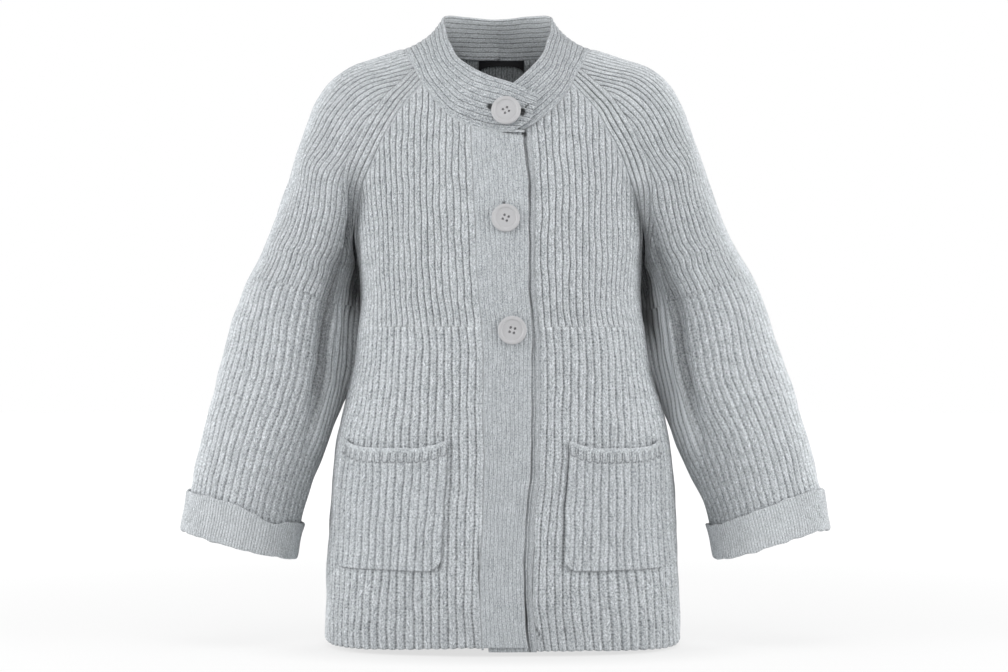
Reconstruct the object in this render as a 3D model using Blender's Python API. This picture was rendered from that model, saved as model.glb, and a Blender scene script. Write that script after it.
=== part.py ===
"""Button cardigan in chunky rib knit, in the hollow shape it has when worn.

Metres, +Z up, the front faces -Y. The origin is in the middle of the neck, level with the shoulders that
carry the garment. Right and left are the wearer's: right is -X and left is +X. Lengths below are in
millimetres, and MM turns them into metres when a mesh is made.
"""

import math
from functools import lru_cache, partial

import bmesh
import bpy
import numpy as np
from mathutils import Vector

MM = 0.001
UP = np.array([0.0, 0.0, 1.0])

# The cloth.
WALL = 2.2  # thickness in the valley between two ribs
RIB_RELIEF = 1.7  # height of a body rib above its valleys
FINE_WALL = 2.2  # thickness of the collar, bands and cuffs
FINE_RELIEF = 0.8  # height of the fine ribs of the collar and bands
SEAM_GAP = 0.4  # a piece stops this far short of the seam line
LAYER_GAP = 0.3  # between a piece and what it lies on

# Ribs.
FRONT_RIBS = 28  # on one front, from its band to the side seam
BACK_RIBS = 30  # from the middle of the back to a side seam
BAND_RIBS = 11
COLLAR_RIBS = 9
ARM_RIBS = 23  # on half of a sleeve, from the outer line to the underarm

# The body.
HEM = -634.0
UNDERARM = -224.0
HEM_SIDE_DROP = 2.5  # the hem hangs this much lower at the side seams
CHEST_NARROWING = 0.08  # share by which rib spacing shrinks from the underarm to the shoulder

# The right front's band lies over the left one, so the right front is lifted towards it.
LEFT_BAND_WIDTH = 50.0
OVERLAP_LIFT = 3.8
LIFT_START = -78.0
LIFT_FULL = -26.0

# Sleeves end in a turned-up cuff.
CUFF_HEIGHT = 44.0
CUFF_FOLD = 6.6  # from the outside of the cuff to the inside of the sleeve, at the fold
SLEEVE_END = 13.0  # the sleeve's own edge is this far above the fold
CUFF_SIDES = 30

BUTTON_DIAMETER = 30.0
BUTTON_THICKNESS = 4.2
BUTTON_HOLE_PITCH = 4.4
BUTTON_HOLE_DIAMETER = 1.9

WOOL = (0.47, 0.49, 0.50)
BUTTON_GREY = (0.60, 0.59, 0.60)
LABEL_BLACK = (0.02, 0.02, 0.025)


def table(columns, *rows):
    """A table as one array for each named column."""
    return {name: np.array([row[i] for row in rows], float) for i, name in enumerate(columns)}


# Half sections of the body: half of its width, and how far its front and back reach from the side seams.
# Roundness is the exponent of a section's curve: 2 is an ellipse, and more is boxier.
BODY = table(
    ("height", "half_width", "front", "back", "roundness"),
    (-640, 192.5, 143, 128, 2.7),
    (-560, 191.0, 142, 122, 2.6),
    (-500, 188.0, 141, 114, 2.5),
    (-430, 182.5, 140, 105, 2.4),
    (-400, 177.0, 139, 102, 2.4),
    (-375, 171.0, 138, 100, 2.3),
    (-345, 163.5, 138, 99, 2.3),
    (-297, 156.0, 137, 98, 2.3),
    (-250, 152.5, 134, 100, 2.3),
    (-224, 154.0, 131, 103, 2.3),
    (-190, 159.0, 126, 106, 2.3),
    (-156, 163.0, 119, 108, 2.3),
    (-125, 166.0, 110, 107, 2.3),
    (-100, 168.0, 101, 104, 2.3),
    (-60, 170.0, 82, 97, 2.3),
    (-30, 170.0, 60, 88, 2.3),
    (12, 168.0, 34, 70, 2.3),
)

# A sleeve from the collar to the fold of its cuff. The outer line runs over the shoulder and down the arm.
# The front and back seams leave the collar, run round the body at these angles from its middle, and meet
# under the arm. Below that, the inner line hangs clear of the body's side. Fullness is the section's curve
# as a share of its width, turn says how far its ends have turned to face front and back, and ribs is the
# number of ribs from the outer line to a seam.
SLEEVE = table(
    ("outer_x", "outer_z", "front_angle", "front_z", "back_angle", "back_z", "clear", "fullness", "turn",
     "ribs", "forward"),
    (102.0, 11, 25.2, -30, 22.5, 11, 0, 0.36, 0.00, 10.0, 0),
    (136.0, 0, 30.0, -45, 28.1, -5, 0, 0.38, 0.00, 12.0, 0),
    (168.0, -13, 35.7, -63, 34.2, -27, 0, 0.42, 0.05, 13.5, 0),
    (192.5, -37, 43.0, -88, 41.6, -56, 0, 0.44, 0.15, 14.8, 0),
    (210.0, -77, 52.2, -117, 50.4, -92, 0, 0.51, 0.35, 15.8, 0),
    (226.5, -125, 63.8, -150, 61.0, -135, 0, 0.60, 0.60, 16.9, 0),
    (242.0, -169, 78.0, -190, 75.0, -182, 0, 0.70, 0.85, 18.9, 0),
    (251.0, -192, 90.0, -224, 90.0, -224, 2.4, 0.79, 1.00, 23.0, 0),
    (261.0, -214, 90.0, -248, 90.0, -248, 7.5, 0.73, 1.00, 23.0, -1),
    (273.5, -236, 90.0, -273, 90.0, -273, 8.0, 0.68, 1.00, 23.0, -2),
    (285.5, -264, 90.0, -300, 90.0, -300, 7.5, 0.64, 1.00, 23.0, -3),
    (303.0, -322, 90.0, -361, 90.0, -361, 5.0, 0.58, 1.00, 23.0, -6),
    (320.0, -385, 90.0, -421, 90.0, -421, 13.5, 0.58, 1.00, 23.0, -9),
    (336.0, -450, 90.0, -486, 90.0, -486, 31.0, 0.60, 1.00, 23.0, -12),
    (341.0, -475, 90.0, -510, 90.0, -510, 35.0, 0.61, 1.00, 23.0, -13),
    (349.0, -517, 90.0, -547, 90.0, -547, 40.0, 0.62, 1.00, 23.0, -15),
)
UNDERARM_ROW = 7

# The neckline in front, by distance from the middle. The right front lies over the left.
NECKLINE = table(
    ("across", "right_z", "left_z"),
    (-40, -92, -94),
    (0, -85, -86),
    (16, -82.5, -83.5),
    (33, -77, -80),
    (55, -64, -63),
    (72, -44, -45),
    (81, -30, -30),
)

# The collar's top edge, by share of the way along its seam from the middle of the back to the middle front.
COLLAR_TOP = table(
    ("share", "right_x", "right_y", "right_z", "left_x", "left_y", "left_z", "bow"),
    (0.00, 0, 60, 52, 0, 60, 52, 2),
    (0.14, -33, 54, 54, 33, 54, 54, 0),
    (0.24, -50, 41, 54, 50, 41, 54, -3),
    (0.34, -57, 23, 51.5, 57, 23, 51.5, -6),
    (0.44, -58.5, 2, 46, 58.5, 2, 46, -6),
    (0.54, -57, -17, 31, 57.5, -17, 31, -4),
    (0.62, -52, -32, 16, 53.5, -31, 17, -1),
    (0.70, -44.5, -46, 1, 48, -45, 3, 1),
    (0.80, -29, -60, -13, 37, -58, -12, 2),
    (0.90, -8, -71.5, -23.5, 24, -67.5, -25, 3),
    (1.00, 17, -82, -32, 9, -75.5, -38, 3),
    (1.10, 44, -92, -49, -7, -82, -49, 2),
)
COLLAR_RIGHT_END = 1.10  # shares at which its two ends stop, the right one over the left
COLLAR_LEFT_END = 1.03
COLLAR_HALF_COLUMNS = 20

# The button bands: the right band's seam with its front, its free edge, and the left band's seam.
BANDS = table(
    ("height", "right_seam", "free_edge", "left_seam"),
    (-640, -20.5, 28.5, 36.0),
    (-560, -23.5, 22.5, 30.5),
    (-500, -21.0, 25.0, 32.5),
    (-455, -19.3, 29.0, 36.8),
    (-400, -18.8, 30.5, 38.0),
    (-350, -18.2, 31.6, 39.5),
    (-308, -19.0, 32.5, 39.0),
    (-266, -22.5, 31.2, 37.0),
    (-203, -24.0, 31.7, 37.0),
    (-141, -25.3, 31.5, 37.3),
    (-98, -26.8, 28.8, 35.4),
    (-60, -27.0, 28.3, 35.0),
)
# How the whole garment leans a little to one side.
LEAN = table(
    ("height", "x"),
    (-640, 0.5), (-450, 1.3), (-400, 0.8), (-250, -2), (-150, -4.2), (0, -4.7), (60, -5.2),
)
LEFT_ARM_SWAY = 5.0  # the left sleeve hangs this much further out at its cuff

# Soft folds. Fronts: the rib and height of the fold's two ends, its half width in ribs, its depth.
FRONT_FOLDS = (
    {"side": -1, "from": (24.5, -235), "to": (20.5, -120), "half_width": 1.7, "depth": -3.0},
    {"side": 1, "from": (24.5, -235), "to": (20.5, -120), "half_width": 1.7, "depth": -3.0},
    {"side": -1, "from": (15.0, -640), "to": (13.5, -560), "half_width": 4.0, "depth": 2.5},
    {"side": 1, "from": (3.5, -640), "to": (3.0, -560), "half_width": 1.6, "depth": -3.0},
    {"side": 1, "from": (13.0, -640), "to": (13.0, -540), "half_width": 3.5, "depth": 2.5},
)
BACK_FOLDS = (
    {"side": -1, "from": (12.0, -640), "to": (10.0, -420), "half_width": 4.0, "depth": 5.0},
    {"side": 1, "from": (13.0, -640), "to": (11.0, -420), "half_width": 4.0, "depth": 5.0},
    {"side": -1, "from": (25.0, -250), "to": (20.0, -110), "half_width": 2.0, "depth": -3.5},
    {"side": 1, "from": (25.0, -250), "to": (20.0, -110), "half_width": 2.0, "depth": -3.5},
)
# Sleeves: ribs from the outer line, front ones positive, and distance down the outer line.
SLEEVE_FOLDS = (
    {"side": -1, "from": (14.5, 268), "to": (15.5, 480), "half_width": 2.0, "depth": -6.0},
    {"side": 1, "from": (14.5, 268), "to": (15.5, 480), "half_width": 2.0, "depth": -6.0},
    {"side": -1, "from": (-14.0, 330), "to": (-9.0, 450), "half_width": 2.5, "depth": -5.0},
    {"side": 1, "from": (-14.0, 330), "to": (-9.0, 450), "half_width": 2.5, "depth": -5.0},
    {"side": 1, "from": (22.0, 410), "to": (22.0, 555), "half_width": 5.0, "depth": 6.0},
    {"side": 1, "from": (-22.0, 410), "to": (-22.0, 555), "half_width": 5.0, "depth": 6.0},
)

# Patch pockets, in ribs of the front and heights. The left one is sewn a little nearer to its band.
POCKET_RIBS = {-1: (4.5, 20.0), 1: (3.8, 19.0)}
POCKET_TOP = -420.0
POCKET_TOP_RISE = 9.0  # the mouth's ends stand this much above its middle
POCKET_BOTTOM = -551.0
POCKET_TOP_CORNER = 6.0
POCKET_BOTTOM_CORNER = 15.0
POCKET_GAPE = 1.8
POCKET_RIB_PITCH = 8.4

BUTTONS = table(("height", "across", "turn"), (-64, 10.0, 45), (-180, 7.0, 20), (-298, 11.0, 30))

LABEL_HALF_WIDTH = 25.0
LABEL_MIDDLE_DROP = 6.5
LABEL_END_DROP = 12.0
LABEL_THICKNESS = 0.8
LABEL_SHIFT = 3.7


# ---- Curves and sheets of cloth ---------------------------------------------------------------------------


def smooth(value, at, known):
    """The curve through the points (at, known), cubic between them with the slopes of its neighbours."""
    slope = np.gradient(known, at)
    value = np.asarray(value, float)
    i = np.clip(np.searchsorted(at, value) - 1, 0, len(at) - 2)
    step = at[i + 1] - at[i]
    s = np.clip((value - at[i]) / step, 0, 1)
    return (
        (2 * s**3 - 3 * s**2 + 1) * known[i]
        + (s**3 - 2 * s**2 + s) * step * slope[i]
        + (3 * s**2 - 2 * s**3) * known[i + 1]
        + (s**3 - s**2) * step * slope[i + 1]
    )


def ramp(value, start, end):
    """0 before start, 1 after end, and a soft S between."""
    s = np.clip((np.asarray(value, float) - start) / (end - start), 0, 1)
    return s * s * (3 - 2 * s)


def unit(vectors):
    return vectors / np.maximum(np.linalg.norm(vectors, axis=-1, keepdims=True), 1e-9)


def running_length(points):
    """Length of each polyline up to each of its points."""
    steps = np.linalg.norm(np.diff(points, axis=-2), axis=-1)
    return np.concatenate([np.zeros(steps.shape[:-1] + (1,)), np.cumsum(steps, axis=-1)], axis=-1)


class Sheet:
    """Curved cloth known by a row of curves, one at each station, each measured from its own start."""

    SHARES = 96

    def __init__(self, stations, curves):
        self.stations = stations
        along = running_length(curves)
        self.length = along[:, -1]
        shares = np.linspace(0, 1, self.SHARES + 1)
        self.points = np.array([
            [np.interp(shares * length, run, curve[:, i]) for i in range(3)]
            for curve, run, length in zip(curves, along, self.length)
        ]).transpose(0, 2, 1)

    def length_at(self, station):
        return np.interp(station, self.stations, self.length)

    def at(self, station, distance):
        """The points at a station and a distance along its curve, both arrays."""
        station, distance = np.broadcast_arrays(np.asarray(station, float), np.asarray(distance, float))
        row = np.interp(station, self.stations, np.arange(len(self.stations)))
        column = np.clip(distance / self.length_at(station), 0, 1) * self.SHARES
        r = np.clip(row.astype(int), 0, len(self.stations) - 2)
        c = np.clip(column.astype(int), 0, self.SHARES - 1)
        a, b = (row - r)[..., None], (column - c)[..., None]
        p = self.points
        here = (1 - b) * p[r, c] + b * p[r, c + 1]
        above = (1 - b) * p[r + 1, c] + b * p[r + 1, c + 1]
        return (1 - a) * here + a * above


def body_size(face, height):
    return [smooth(height, BODY["height"], BODY[name]) for name in ("half_width", face, "roundness")]


def body_point(face, angle, height):
    """A point of the body's surface, at an angle in degrees from its middle line, on the left side."""
    width, depth, roundness = body_size(face, height)
    turn = np.radians(angle)
    x = width * np.abs(np.sin(turn)) ** (2 / roundness)
    y = depth * np.abs(np.cos(turn)) ** (2 / roundness)
    return np.stack([x, -y if face == "front" else y, height + 0 * x], axis=-1)


def body_y(face, x, height):
    """How far forward or back the body reaches, at a distance from its middle."""
    width, depth, roundness = body_size(face, height)
    reach = depth * (1 - (np.abs(x) / width) ** roundness) ** (1 / roundness)
    return -reach if face == "front" else reach


def body_sheet(face):
    heights = np.linspace(BODY["height"][0], BODY["height"][-1], 164)
    angles = np.linspace(0, 90, 181)
    return Sheet(heights, body_point(face, angles[None, :], heights[:, None]))


BODY_SHEETS = {"front": body_sheet("front"), "back": body_sheet("back")}

SLEEVE_DOWN = running_length(np.stack([SLEEVE["outer_x"], SLEEVE["outer_z"]], axis=-1))
SLEEVE_LENGTH = SLEEVE_DOWN[-1]
SLEEVE_UNDERARM = SLEEVE_DOWN[UNDERARM_ROW]


def sleeve_column(name, down):
    return smooth(down, SLEEVE_DOWN, SLEEVE[name])


def seam_point(face, down):
    """The front or back edge of the left sleeve: on the body until the underarm, and then its inner line."""
    point = body_point(face, sleeve_column(face + "_angle", down), sleeve_column(face + "_z", down))
    point[..., 0] += sleeve_column("clear", down)
    point[..., 1] += sleeve_column("forward", down)
    return point


def sleeve_sheet(face):
    """Half of the left sleeve: each section is a curve from the outer line to a seam, or to the inner line."""
    down = np.linspace(0, SLEEVE_LENGTH, 156)
    outer = np.stack([sleeve_column(n, down) for n in ("outer_x", "forward", "outer_z")], axis=-1)
    seam = seam_point(face, down)
    across = outer - seam
    reach = np.linalg.norm(across, axis=-1, keepdims=True) * sleeve_column("fullness", down)[:, None]
    forward = np.array([0.0, -1.0 if face == "front" else 1.0, 0.0])
    step = 1.0
    angle, height = sleeve_column(face + "_angle", down), np.minimum(seam[:, 2], BODY["height"][-1] - step)
    round_body = body_point(face, np.minimum(angle + step, 90), height) - body_point(face, angle - step, height)
    up_body = body_point(face, angle, height + step) - body_point(face, angle, height - step)
    out_of_body = unit(np.cross(round_body, up_body))
    along_body = unit(across - np.sum(across * out_of_body, axis=-1, keepdims=True) * out_of_body)
    turn = sleeve_column("turn", down)[:, None]
    leave = unit((1 - turn) * along_body + turn * forward)
    s = np.linspace(0, 1, 121)[None, :, None]
    corners = [p[:, None, :] for p in (outer, outer + reach * forward, seam + reach * leave, seam)]
    curves = (
        (1 - s) ** 3 * corners[0] + 3 * s * (1 - s) ** 2 * corners[1]
        + 3 * s**2 * (1 - s) * corners[2] + s**3 * corners[3]
    )
    return Sheet(down, curves)


SLEEVE_SHEETS = {"front": sleeve_sheet("front"), "back": sleeve_sheet("back")}


def lean(points):
    """The whole garment's slight lean to one side."""
    points = np.array(points, float)
    points[..., 0] += smooth(points[..., 2], LEAN["height"], LEAN["x"])
    return points


def fold_depth(folds, side, rib, place):
    """How far the soft folds push the cloth out or in. Each fades towards both of its ends and its sides."""
    total = np.zeros(np.broadcast(rib, place).shape)
    for fold in folds:
        (rib_a, place_a), (rib_b, place_b) = fold["from"], fold["to"]
        along = (place - place_a) / (place_b - place_a)
        off_line = (rib - (rib_a + (rib_b - rib_a) * np.clip(along, 0, 1))) / fold["half_width"]
        fade = ramp(along, -0.05, 0.3) * (1 - ramp(along, 0.6, 1.05))
        total = total + (side == fold["side"]) * fold["depth"] * np.exp(-off_line**2) * fade
    return total


def normals_of(surface, first, second, steps, centre):
    """Unit normals of a surface given by two numbers a point, on the side away from a centre line."""
    along_first = surface(first + steps[0], second) - surface(first - steps[0], second)
    along_second = surface(first, second + steps[1]) - surface(first, second - steps[1])
    normals = unit(np.cross(along_first, along_second))
    return normals * np.sign(np.sum(normals * (surface(first, second) - centre)))


def overlap_lift(x):
    return OVERLAP_LIFT * ramp(x, LIFT_START, LIFT_FULL)


# ---- Meshes -----------------------------------------------------------------------------------------------


def material(name, colour, roughness):
    found = bpy.data.materials.get(name)
    if found is None:
        found = bpy.data.materials.new(name)
        found.use_nodes = True
        shader = found.node_tree.nodes["Principled BSDF"]
        shader.inputs["Base Color"].default_value = (*colour, 1)
        shader.inputs["Roughness"].default_value = roughness
        shader.inputs["Metallic"].default_value = 0
    return found


def add_object(name, points, faces, finish):
    """A named object from points in millimetres, with its faces turned outwards."""
    mesh = bpy.data.meshes.new(name)
    mesh.from_pydata((np.asarray(points) * MM).tolist(), [], faces)
    shape = bmesh.new()
    shape.from_mesh(mesh)
    bmesh.ops.recalc_face_normals(shape, faces=shape.faces)
    shape.to_mesh(mesh)
    shape.free()
    mesh.materials.append(finish)
    obj = bpy.data.objects.new(name, mesh)
    bpy.context.scene.collection.objects.link(obj)
    return obj


def grid_faces(index):
    """Quads over a grid of point numbers."""
    corners = np.stack([index[:-1, :-1], index[:-1, 1:], index[1:, 1:], index[1:, :-1]], axis=-1)
    return corners.reshape(-1, 4).tolist()


def rim_faces(outer, inner):
    """Closes the gap between an edge of the outer grid and the same edge of the coarser inner one."""
    step = (len(outer) - 1) // (len(inner) - 1)
    faces = []
    for j in range(len(inner) - 1):
        start, middle, end = j * step, j * step + (step + 1) // 2, (j + 1) * step
        faces += [[outer[c], outer[c + 1], inner[j]] for c in range(start, middle)]
        faces += [[outer[c], outer[c + 1], inner[j + 1]] for c in range(middle, end)]
        faces.append([outer[middle], inner[j + 1], inner[j]])
    return faces


def wall(name, plain, normals, relief, finish, thickness=WALL, inner_step=4):
    """Cloth with raised ribs outside and a plain inside: two grids, joined round their four edges."""
    outer = lean(plain + normals * relief[..., None])
    inner = lean(plain - normals * thickness)[:, ::inner_step]
    rows, columns = outer.shape[:2]
    out_index = np.arange(rows * columns).reshape(rows, columns)
    in_index = rows * columns + np.arange(inner.shape[0] * inner.shape[1]).reshape(inner.shape[:2])
    faces = grid_faces(out_index) + grid_faces(in_index)
    for edge in (0, -1):
        faces += rim_faces(out_index[edge], in_index[edge])
        faces += grid_faces(np.stack([out_index[:, edge], in_index[:, edge]]))
    points = np.concatenate([outer.reshape(-1, 3), inner.reshape(-1, 3)])
    return add_object(name, points, faces, finish)


def rib_relief(columns, height, rows, hidden_ends=()):
    """Valley, crest, valley and so on across the columns. The ribs sink into the seams of the hidden rows."""
    relief = np.tile(height * (np.arange(columns) % 2), (rows, 1)).astype(float)
    relief[list(hidden_ends)] = 0
    return relief


# ---- Fronts, back and bands -------------------------------------------------------------------------------


def rib_spacing(face, height, edge, ribs):
    """Distance between two ribs: even over a quarter of the body up to the underarm, then a little less."""
    sheet = BODY_SHEETS[face]
    spacing = (sheet.length_at(np.minimum(height, UNDERARM)) - SEAM_GAP - edge) / ribs
    return spacing * (1 - CHEST_NARROWING * np.clip((height - UNDERARM) / -UNDERARM, 0, 1))


def band_edges(side, height):
    """Where a band starts and ends, from the wearer's right to left."""
    edges = {name: smooth(height, BANDS["height"], BANDS[name]) for name in BANDS}
    if side < 0:
        return edges["right_seam"], edges["free_edge"]
    return edges["left_seam"] - LEFT_BAND_WIDTH, edges["left_seam"]


def front_edge(side, height):
    """Where a front joins its band, as a distance from the middle."""
    return side * band_edges(side, height)[0 if side < 0 else 1] + SEAM_GAP


def neck_height(side, x):
    """The neckline's height in front. A front's own side counts as positive, and past the middle as negative."""
    return smooth(x * side, NECKLINE["across"], NECKLINE["right_z" if side < 0 else "left_z"])


def back_neck_height(x):
    """The neckline's height at the back, which rises a little to the raglan seams."""
    end = seam_point("back", 0.0)
    return end[2] - 4.0 * (1 - (x / end[0]) ** 2)


def distance_at(face, x, height):
    """How far round the body a point at this distance from the middle plane is."""
    sheet = BODY_SHEETS[face]
    shares = np.linspace(0, 1, 400)
    found = []
    for across, level in zip(x, height):
        run = shares * sheet.length_at(level)
        found.append(np.interp(across, sheet.at(level, run)[:, 0], run))
    return np.array(found)


def panel_tops(face, side, ribs):
    """The height at which each rib of a panel meets the neckline or a raglan seam."""
    raglan = seam_point(face, np.linspace(0, SLEEVE_UNDERARM, 60))
    neck_x = np.linspace(0, raglan[0, 0], 30)[:-1]
    if face == "front":
        neck_z, count = neck_height(side, neck_x * side), FRONT_RIBS
    else:
        neck_z, count = back_neck_height(neck_x), BACK_RIBS
    x = np.concatenate([neck_x, raglan[:, 0] - SEAM_GAP])
    z = np.concatenate([neck_z, raglan[:, 2]]) - SEAM_GAP
    edge = front_edge(side, z) if face == "front" else 0.0
    rib = (distance_at(face, x, z) - edge) / rib_spacing(face, z, edge, count)
    return np.interp(ribs, np.maximum.accumulate(rib), z)


def front_surface(side, ribs, heights):
    edge = front_edge(side, heights)
    distance = edge + ribs * rib_spacing("front", heights, edge, FRONT_RIBS)
    points = BODY_SHEETS["front"].at(heights, distance)
    points[..., 0] *= side
    if side < 0:
        points[..., 1] -= overlap_lift(points[..., 0])
    return points


def front_cloth(side, ribs, heights):
    """Plain points and normals of a front, for grids of rib numbers and heights."""
    points = front_surface(side, ribs, heights)
    normals = normals_of(partial(front_surface, side), ribs, heights, (0.1, 1.0), points * UP)
    folds = fold_depth(FRONT_FOLDS, side, ribs, heights)
    return points + normals * folds[..., None], normals


PANEL_ROWS = (0, 0.18, 0.36, 0.53, 0.68, 0.81, 0.915, 1)


def rows_to_top(tops, to_side, shares):
    """Heights of rows between the hem and the tops of the columns. To_side is 1 at a side seam."""
    hem = HEM - HEM_SIDE_DROP * ramp(to_side, 0.2, 0.9)
    return hem + (tops - hem) * np.asarray(shares)[:, None]


def add_front(name, side, finish):
    ribs = np.linspace(0, FRONT_RIBS, 2 * FRONT_RIBS + 1)
    heights = rows_to_top(panel_tops("front", side, ribs), ribs / FRONT_RIBS, PANEL_ROWS)
    plain, normals = front_cloth(side, ribs[None, :] + 0 * heights, heights)
    wall(name, plain, normals, rib_relief(len(ribs), RIB_RELIEF, len(heights), [-1]), finish)


def back_surface(ribs, heights):
    distance = np.abs(ribs) * rib_spacing("back", heights, 0.0, BACK_RIBS)
    points = BODY_SHEETS["back"].at(heights, distance)
    points[..., 0] *= np.sign(ribs)
    return points


def back_cloth(ribs, heights):
    """Plain points and normals of the back, with ribs counted from its middle."""
    points = back_surface(ribs, heights)
    normals = normals_of(back_surface, ribs, heights, (0.1, 1.0), points * UP)
    folds = fold_depth(BACK_FOLDS, 1, ribs, heights) + fold_depth(BACK_FOLDS, -1, -ribs, heights)
    return points + normals * folds[..., None], normals


def add_back(name, finish):
    ribs = np.linspace(-BACK_RIBS, BACK_RIBS, 4 * BACK_RIBS + 1)
    heights = rows_to_top(panel_tops("back", 1, np.abs(ribs)), np.abs(ribs) / BACK_RIBS, PANEL_ROWS)
    plain, normals = back_cloth(ribs[None, :] + 0 * heights, heights)
    wall(name, plain, normals, rib_relief(len(ribs), RIB_RELIEF, len(heights), [-1]), finish)


def band_surface(side, share, heights):
    low, high = band_edges(side, heights)
    x = low + (high - low) * share
    y = body_y("front", x, heights) - (OVERLAP_LIFT if side < 0 else 0)
    return np.stack([x, y, heights + 0 * x], axis=-1)


def band_cloth(side, share, heights):
    """Plain points and normals of a button band, by the share of its width and the height."""
    points = band_surface(side, share, heights)
    return points, normals_of(partial(band_surface, side), share, heights, (0.02, 1.0), points * UP)


def add_band(name, side, finish):
    """A band down the front, from the hem to the neckline. The right one is lifted over the left."""
    shares = np.linspace(0, 1, 2 * BAND_RIBS + 1)
    low, high = band_edges(side, NECKLINE["right_z"][1])
    tops = neck_height(side, low + (high - low) * shares) - SEAM_GAP
    heights = rows_to_top(tops, 0 * shares, PANEL_ROWS)
    plain, normals = band_cloth(side, shares[None, :] + 0 * heights, heights)
    relief = rib_relief(len(shares), FINE_RELIEF, len(heights), [-1])
    wall(name, plain, normals, relief, finish, FINE_WALL, 2)


def corner_cut(radius, from_edge):
    """How much a rounded corner takes off, at a distance from the side edge."""
    return radius - np.sqrt(radius**2 - np.clip(radius - from_edge, 0, radius) ** 2)


def add_pocket(name, side, finish):
    """A patch on a front, with rounded corners and a mouth that dips in its middle."""
    low, high = POCKET_RIBS[side]
    count = 2 * math.floor(high - low)
    ribs = np.linspace(low, high, count + 1)
    from_edge = np.minimum(ribs - low, high - ribs) * POCKET_RIB_PITCH
    share = (ribs - low) / (high - low) * 2 - 1
    top = POCKET_TOP + POCKET_TOP_RISE * share**4 - corner_cut(POCKET_TOP_CORNER, from_edge)
    bottom = POCKET_BOTTOM + corner_cut(POCKET_BOTTOM_CORNER, from_edge)
    rows = np.linspace(0, 1, 6)[:, None]
    heights = bottom + (top - bottom) * rows
    points, normals = front_cloth(side, ribs[None, :] + 0 * heights, heights)
    gape = POCKET_GAPE * ramp(rows, 0.6, 1) * (1 - share**4)
    lift = RIB_RELIEF + LAYER_GAP + WALL + 0.5 + gape
    plain = points + normals * lift[..., None]
    wall(name, plain, normals, rib_relief(count + 1, RIB_RELIEF, len(rows)), finish, WALL, 2)


# ---- Sleeves and cuffs ------------------------------------------------------------------------------------


def placed_sleeve(side, points, down):
    """Left sleeve points as they are for one side: mirrored, or swung out a little."""
    points = np.array(points)
    sway = LEFT_ARM_SWAY * ramp(down, SLEEVE_UNDERARM, SLEEVE_LENGTH) if side > 0 else 0.0
    points[..., 0] = side * points[..., 0] + sway
    return points


def sleeve_surface(side, ribs, down):
    share = np.abs(ribs) / sleeve_column("ribs", down)
    halves = [
        SLEEVE_SHEETS[face].at(down, share * SLEEVE_SHEETS[face].length_at(down)) for face in ("front", "back")
    ]
    return placed_sleeve(side, np.where((ribs >= 0)[..., None], *halves), down)


def sleeve_middle(side, down):
    """The line half way between a sleeve's outer line and its seams."""
    seams = (seam_point("front", down) + seam_point("back", down)) / 2
    outer = np.stack([sleeve_column(n, down) for n in ("outer_x", "forward", "outer_z")], axis=-1)
    return placed_sleeve(side, (seams + outer) / 2, down)


def sleeve_cloth(side, ribs, down):
    """Plain points and normals of a sleeve. Ribs are counted from its outer line, front ones positive."""
    points = sleeve_surface(side, ribs, down)
    surface = partial(sleeve_surface, side)
    normals = normals_of(surface, ribs, down, (0.1, 1.0), sleeve_middle(side, down))
    folds = fold_depth(SLEEVE_FOLDS, side, ribs, down)
    return points + normals * folds[..., None], normals


def sleeve_starts(ribs):
    """How far down the outer line each rib starts: at the collar, or where the raglan seam lets it in."""
    down = np.linspace(0, SLEEVE_UNDERARM, 200)
    reached = sleeve_column("ribs", down) * (1 - SEAM_GAP / SLEEVE_SHEETS["front"].length_at(down))
    reached = np.maximum.accumulate(reached)
    reached[-1] = ARM_RIBS
    return np.maximum(np.interp(np.abs(ribs), reached, down), SEAM_GAP)


SLEEVE_ROWS_RAGLAN = (0, 0.14, 0.28, 0.42, 0.6, 0.8, 1)
SLEEVE_ROWS_ARM = (0.22, 0.46, 0.7, 0.88, 1)


def add_sleeve(name, side, finish):
    edge_rib = ARM_RIBS - 0.04
    ribs = np.linspace(-edge_rib, edge_rib, 4 * ARM_RIBS + 1)
    starts = sleeve_starts(ribs)
    elbow = SLEEVE_DOWN[UNDERARM_ROW + 2]
    end = SLEEVE_LENGTH - SLEEVE_END
    down = np.concatenate([
        starts + (elbow - starts) * np.array(SLEEVE_ROWS_RAGLAN)[:, None],
        elbow + (end - elbow) * np.array(SLEEVE_ROWS_ARM)[:, None] + 0 * starts,
    ])
    plain, normals = sleeve_cloth(side, ribs[None, :] + 0 * down, down)
    wall(name, plain, normals, rib_relief(len(ribs), RIB_RELIEF, len(down), [0]), finish)


# The cuff's section: distance above the fold, and distance out from the sleeve's valleys. It starts inside
# the sleeve, turns at the fold and ends in the free edge of the turned-up part.
def cuff_section():
    inside, outside = -WALL, CUFF_FOLD - WALL
    inner_layer = 0.0
    outer_layer = RIB_RELIEF + LAYER_GAP + 0.4
    top = SLEEVE_END - SEAM_GAP
    return np.array([
        (top, inside), (5, inside), (1.2, inside + 1.2), (0, (inside + outside) / 2), (1.2, outside - 1.2),
        (5, outside), (CUFF_HEIGHT * 0.5, outside + 0.4), (CUFF_HEIGHT, outside + 0.8),
        (CUFF_HEIGHT + 0.6, outside - 0.6), (CUFF_HEIGHT, outer_layer + 0.6),
        (CUFF_HEIGHT * 0.5, outer_layer), (4.5, outer_layer), (3.2, (inner_layer + outer_layer) / 2),
        (4.5, inner_layer), (top, inner_layer),
    ])


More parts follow.
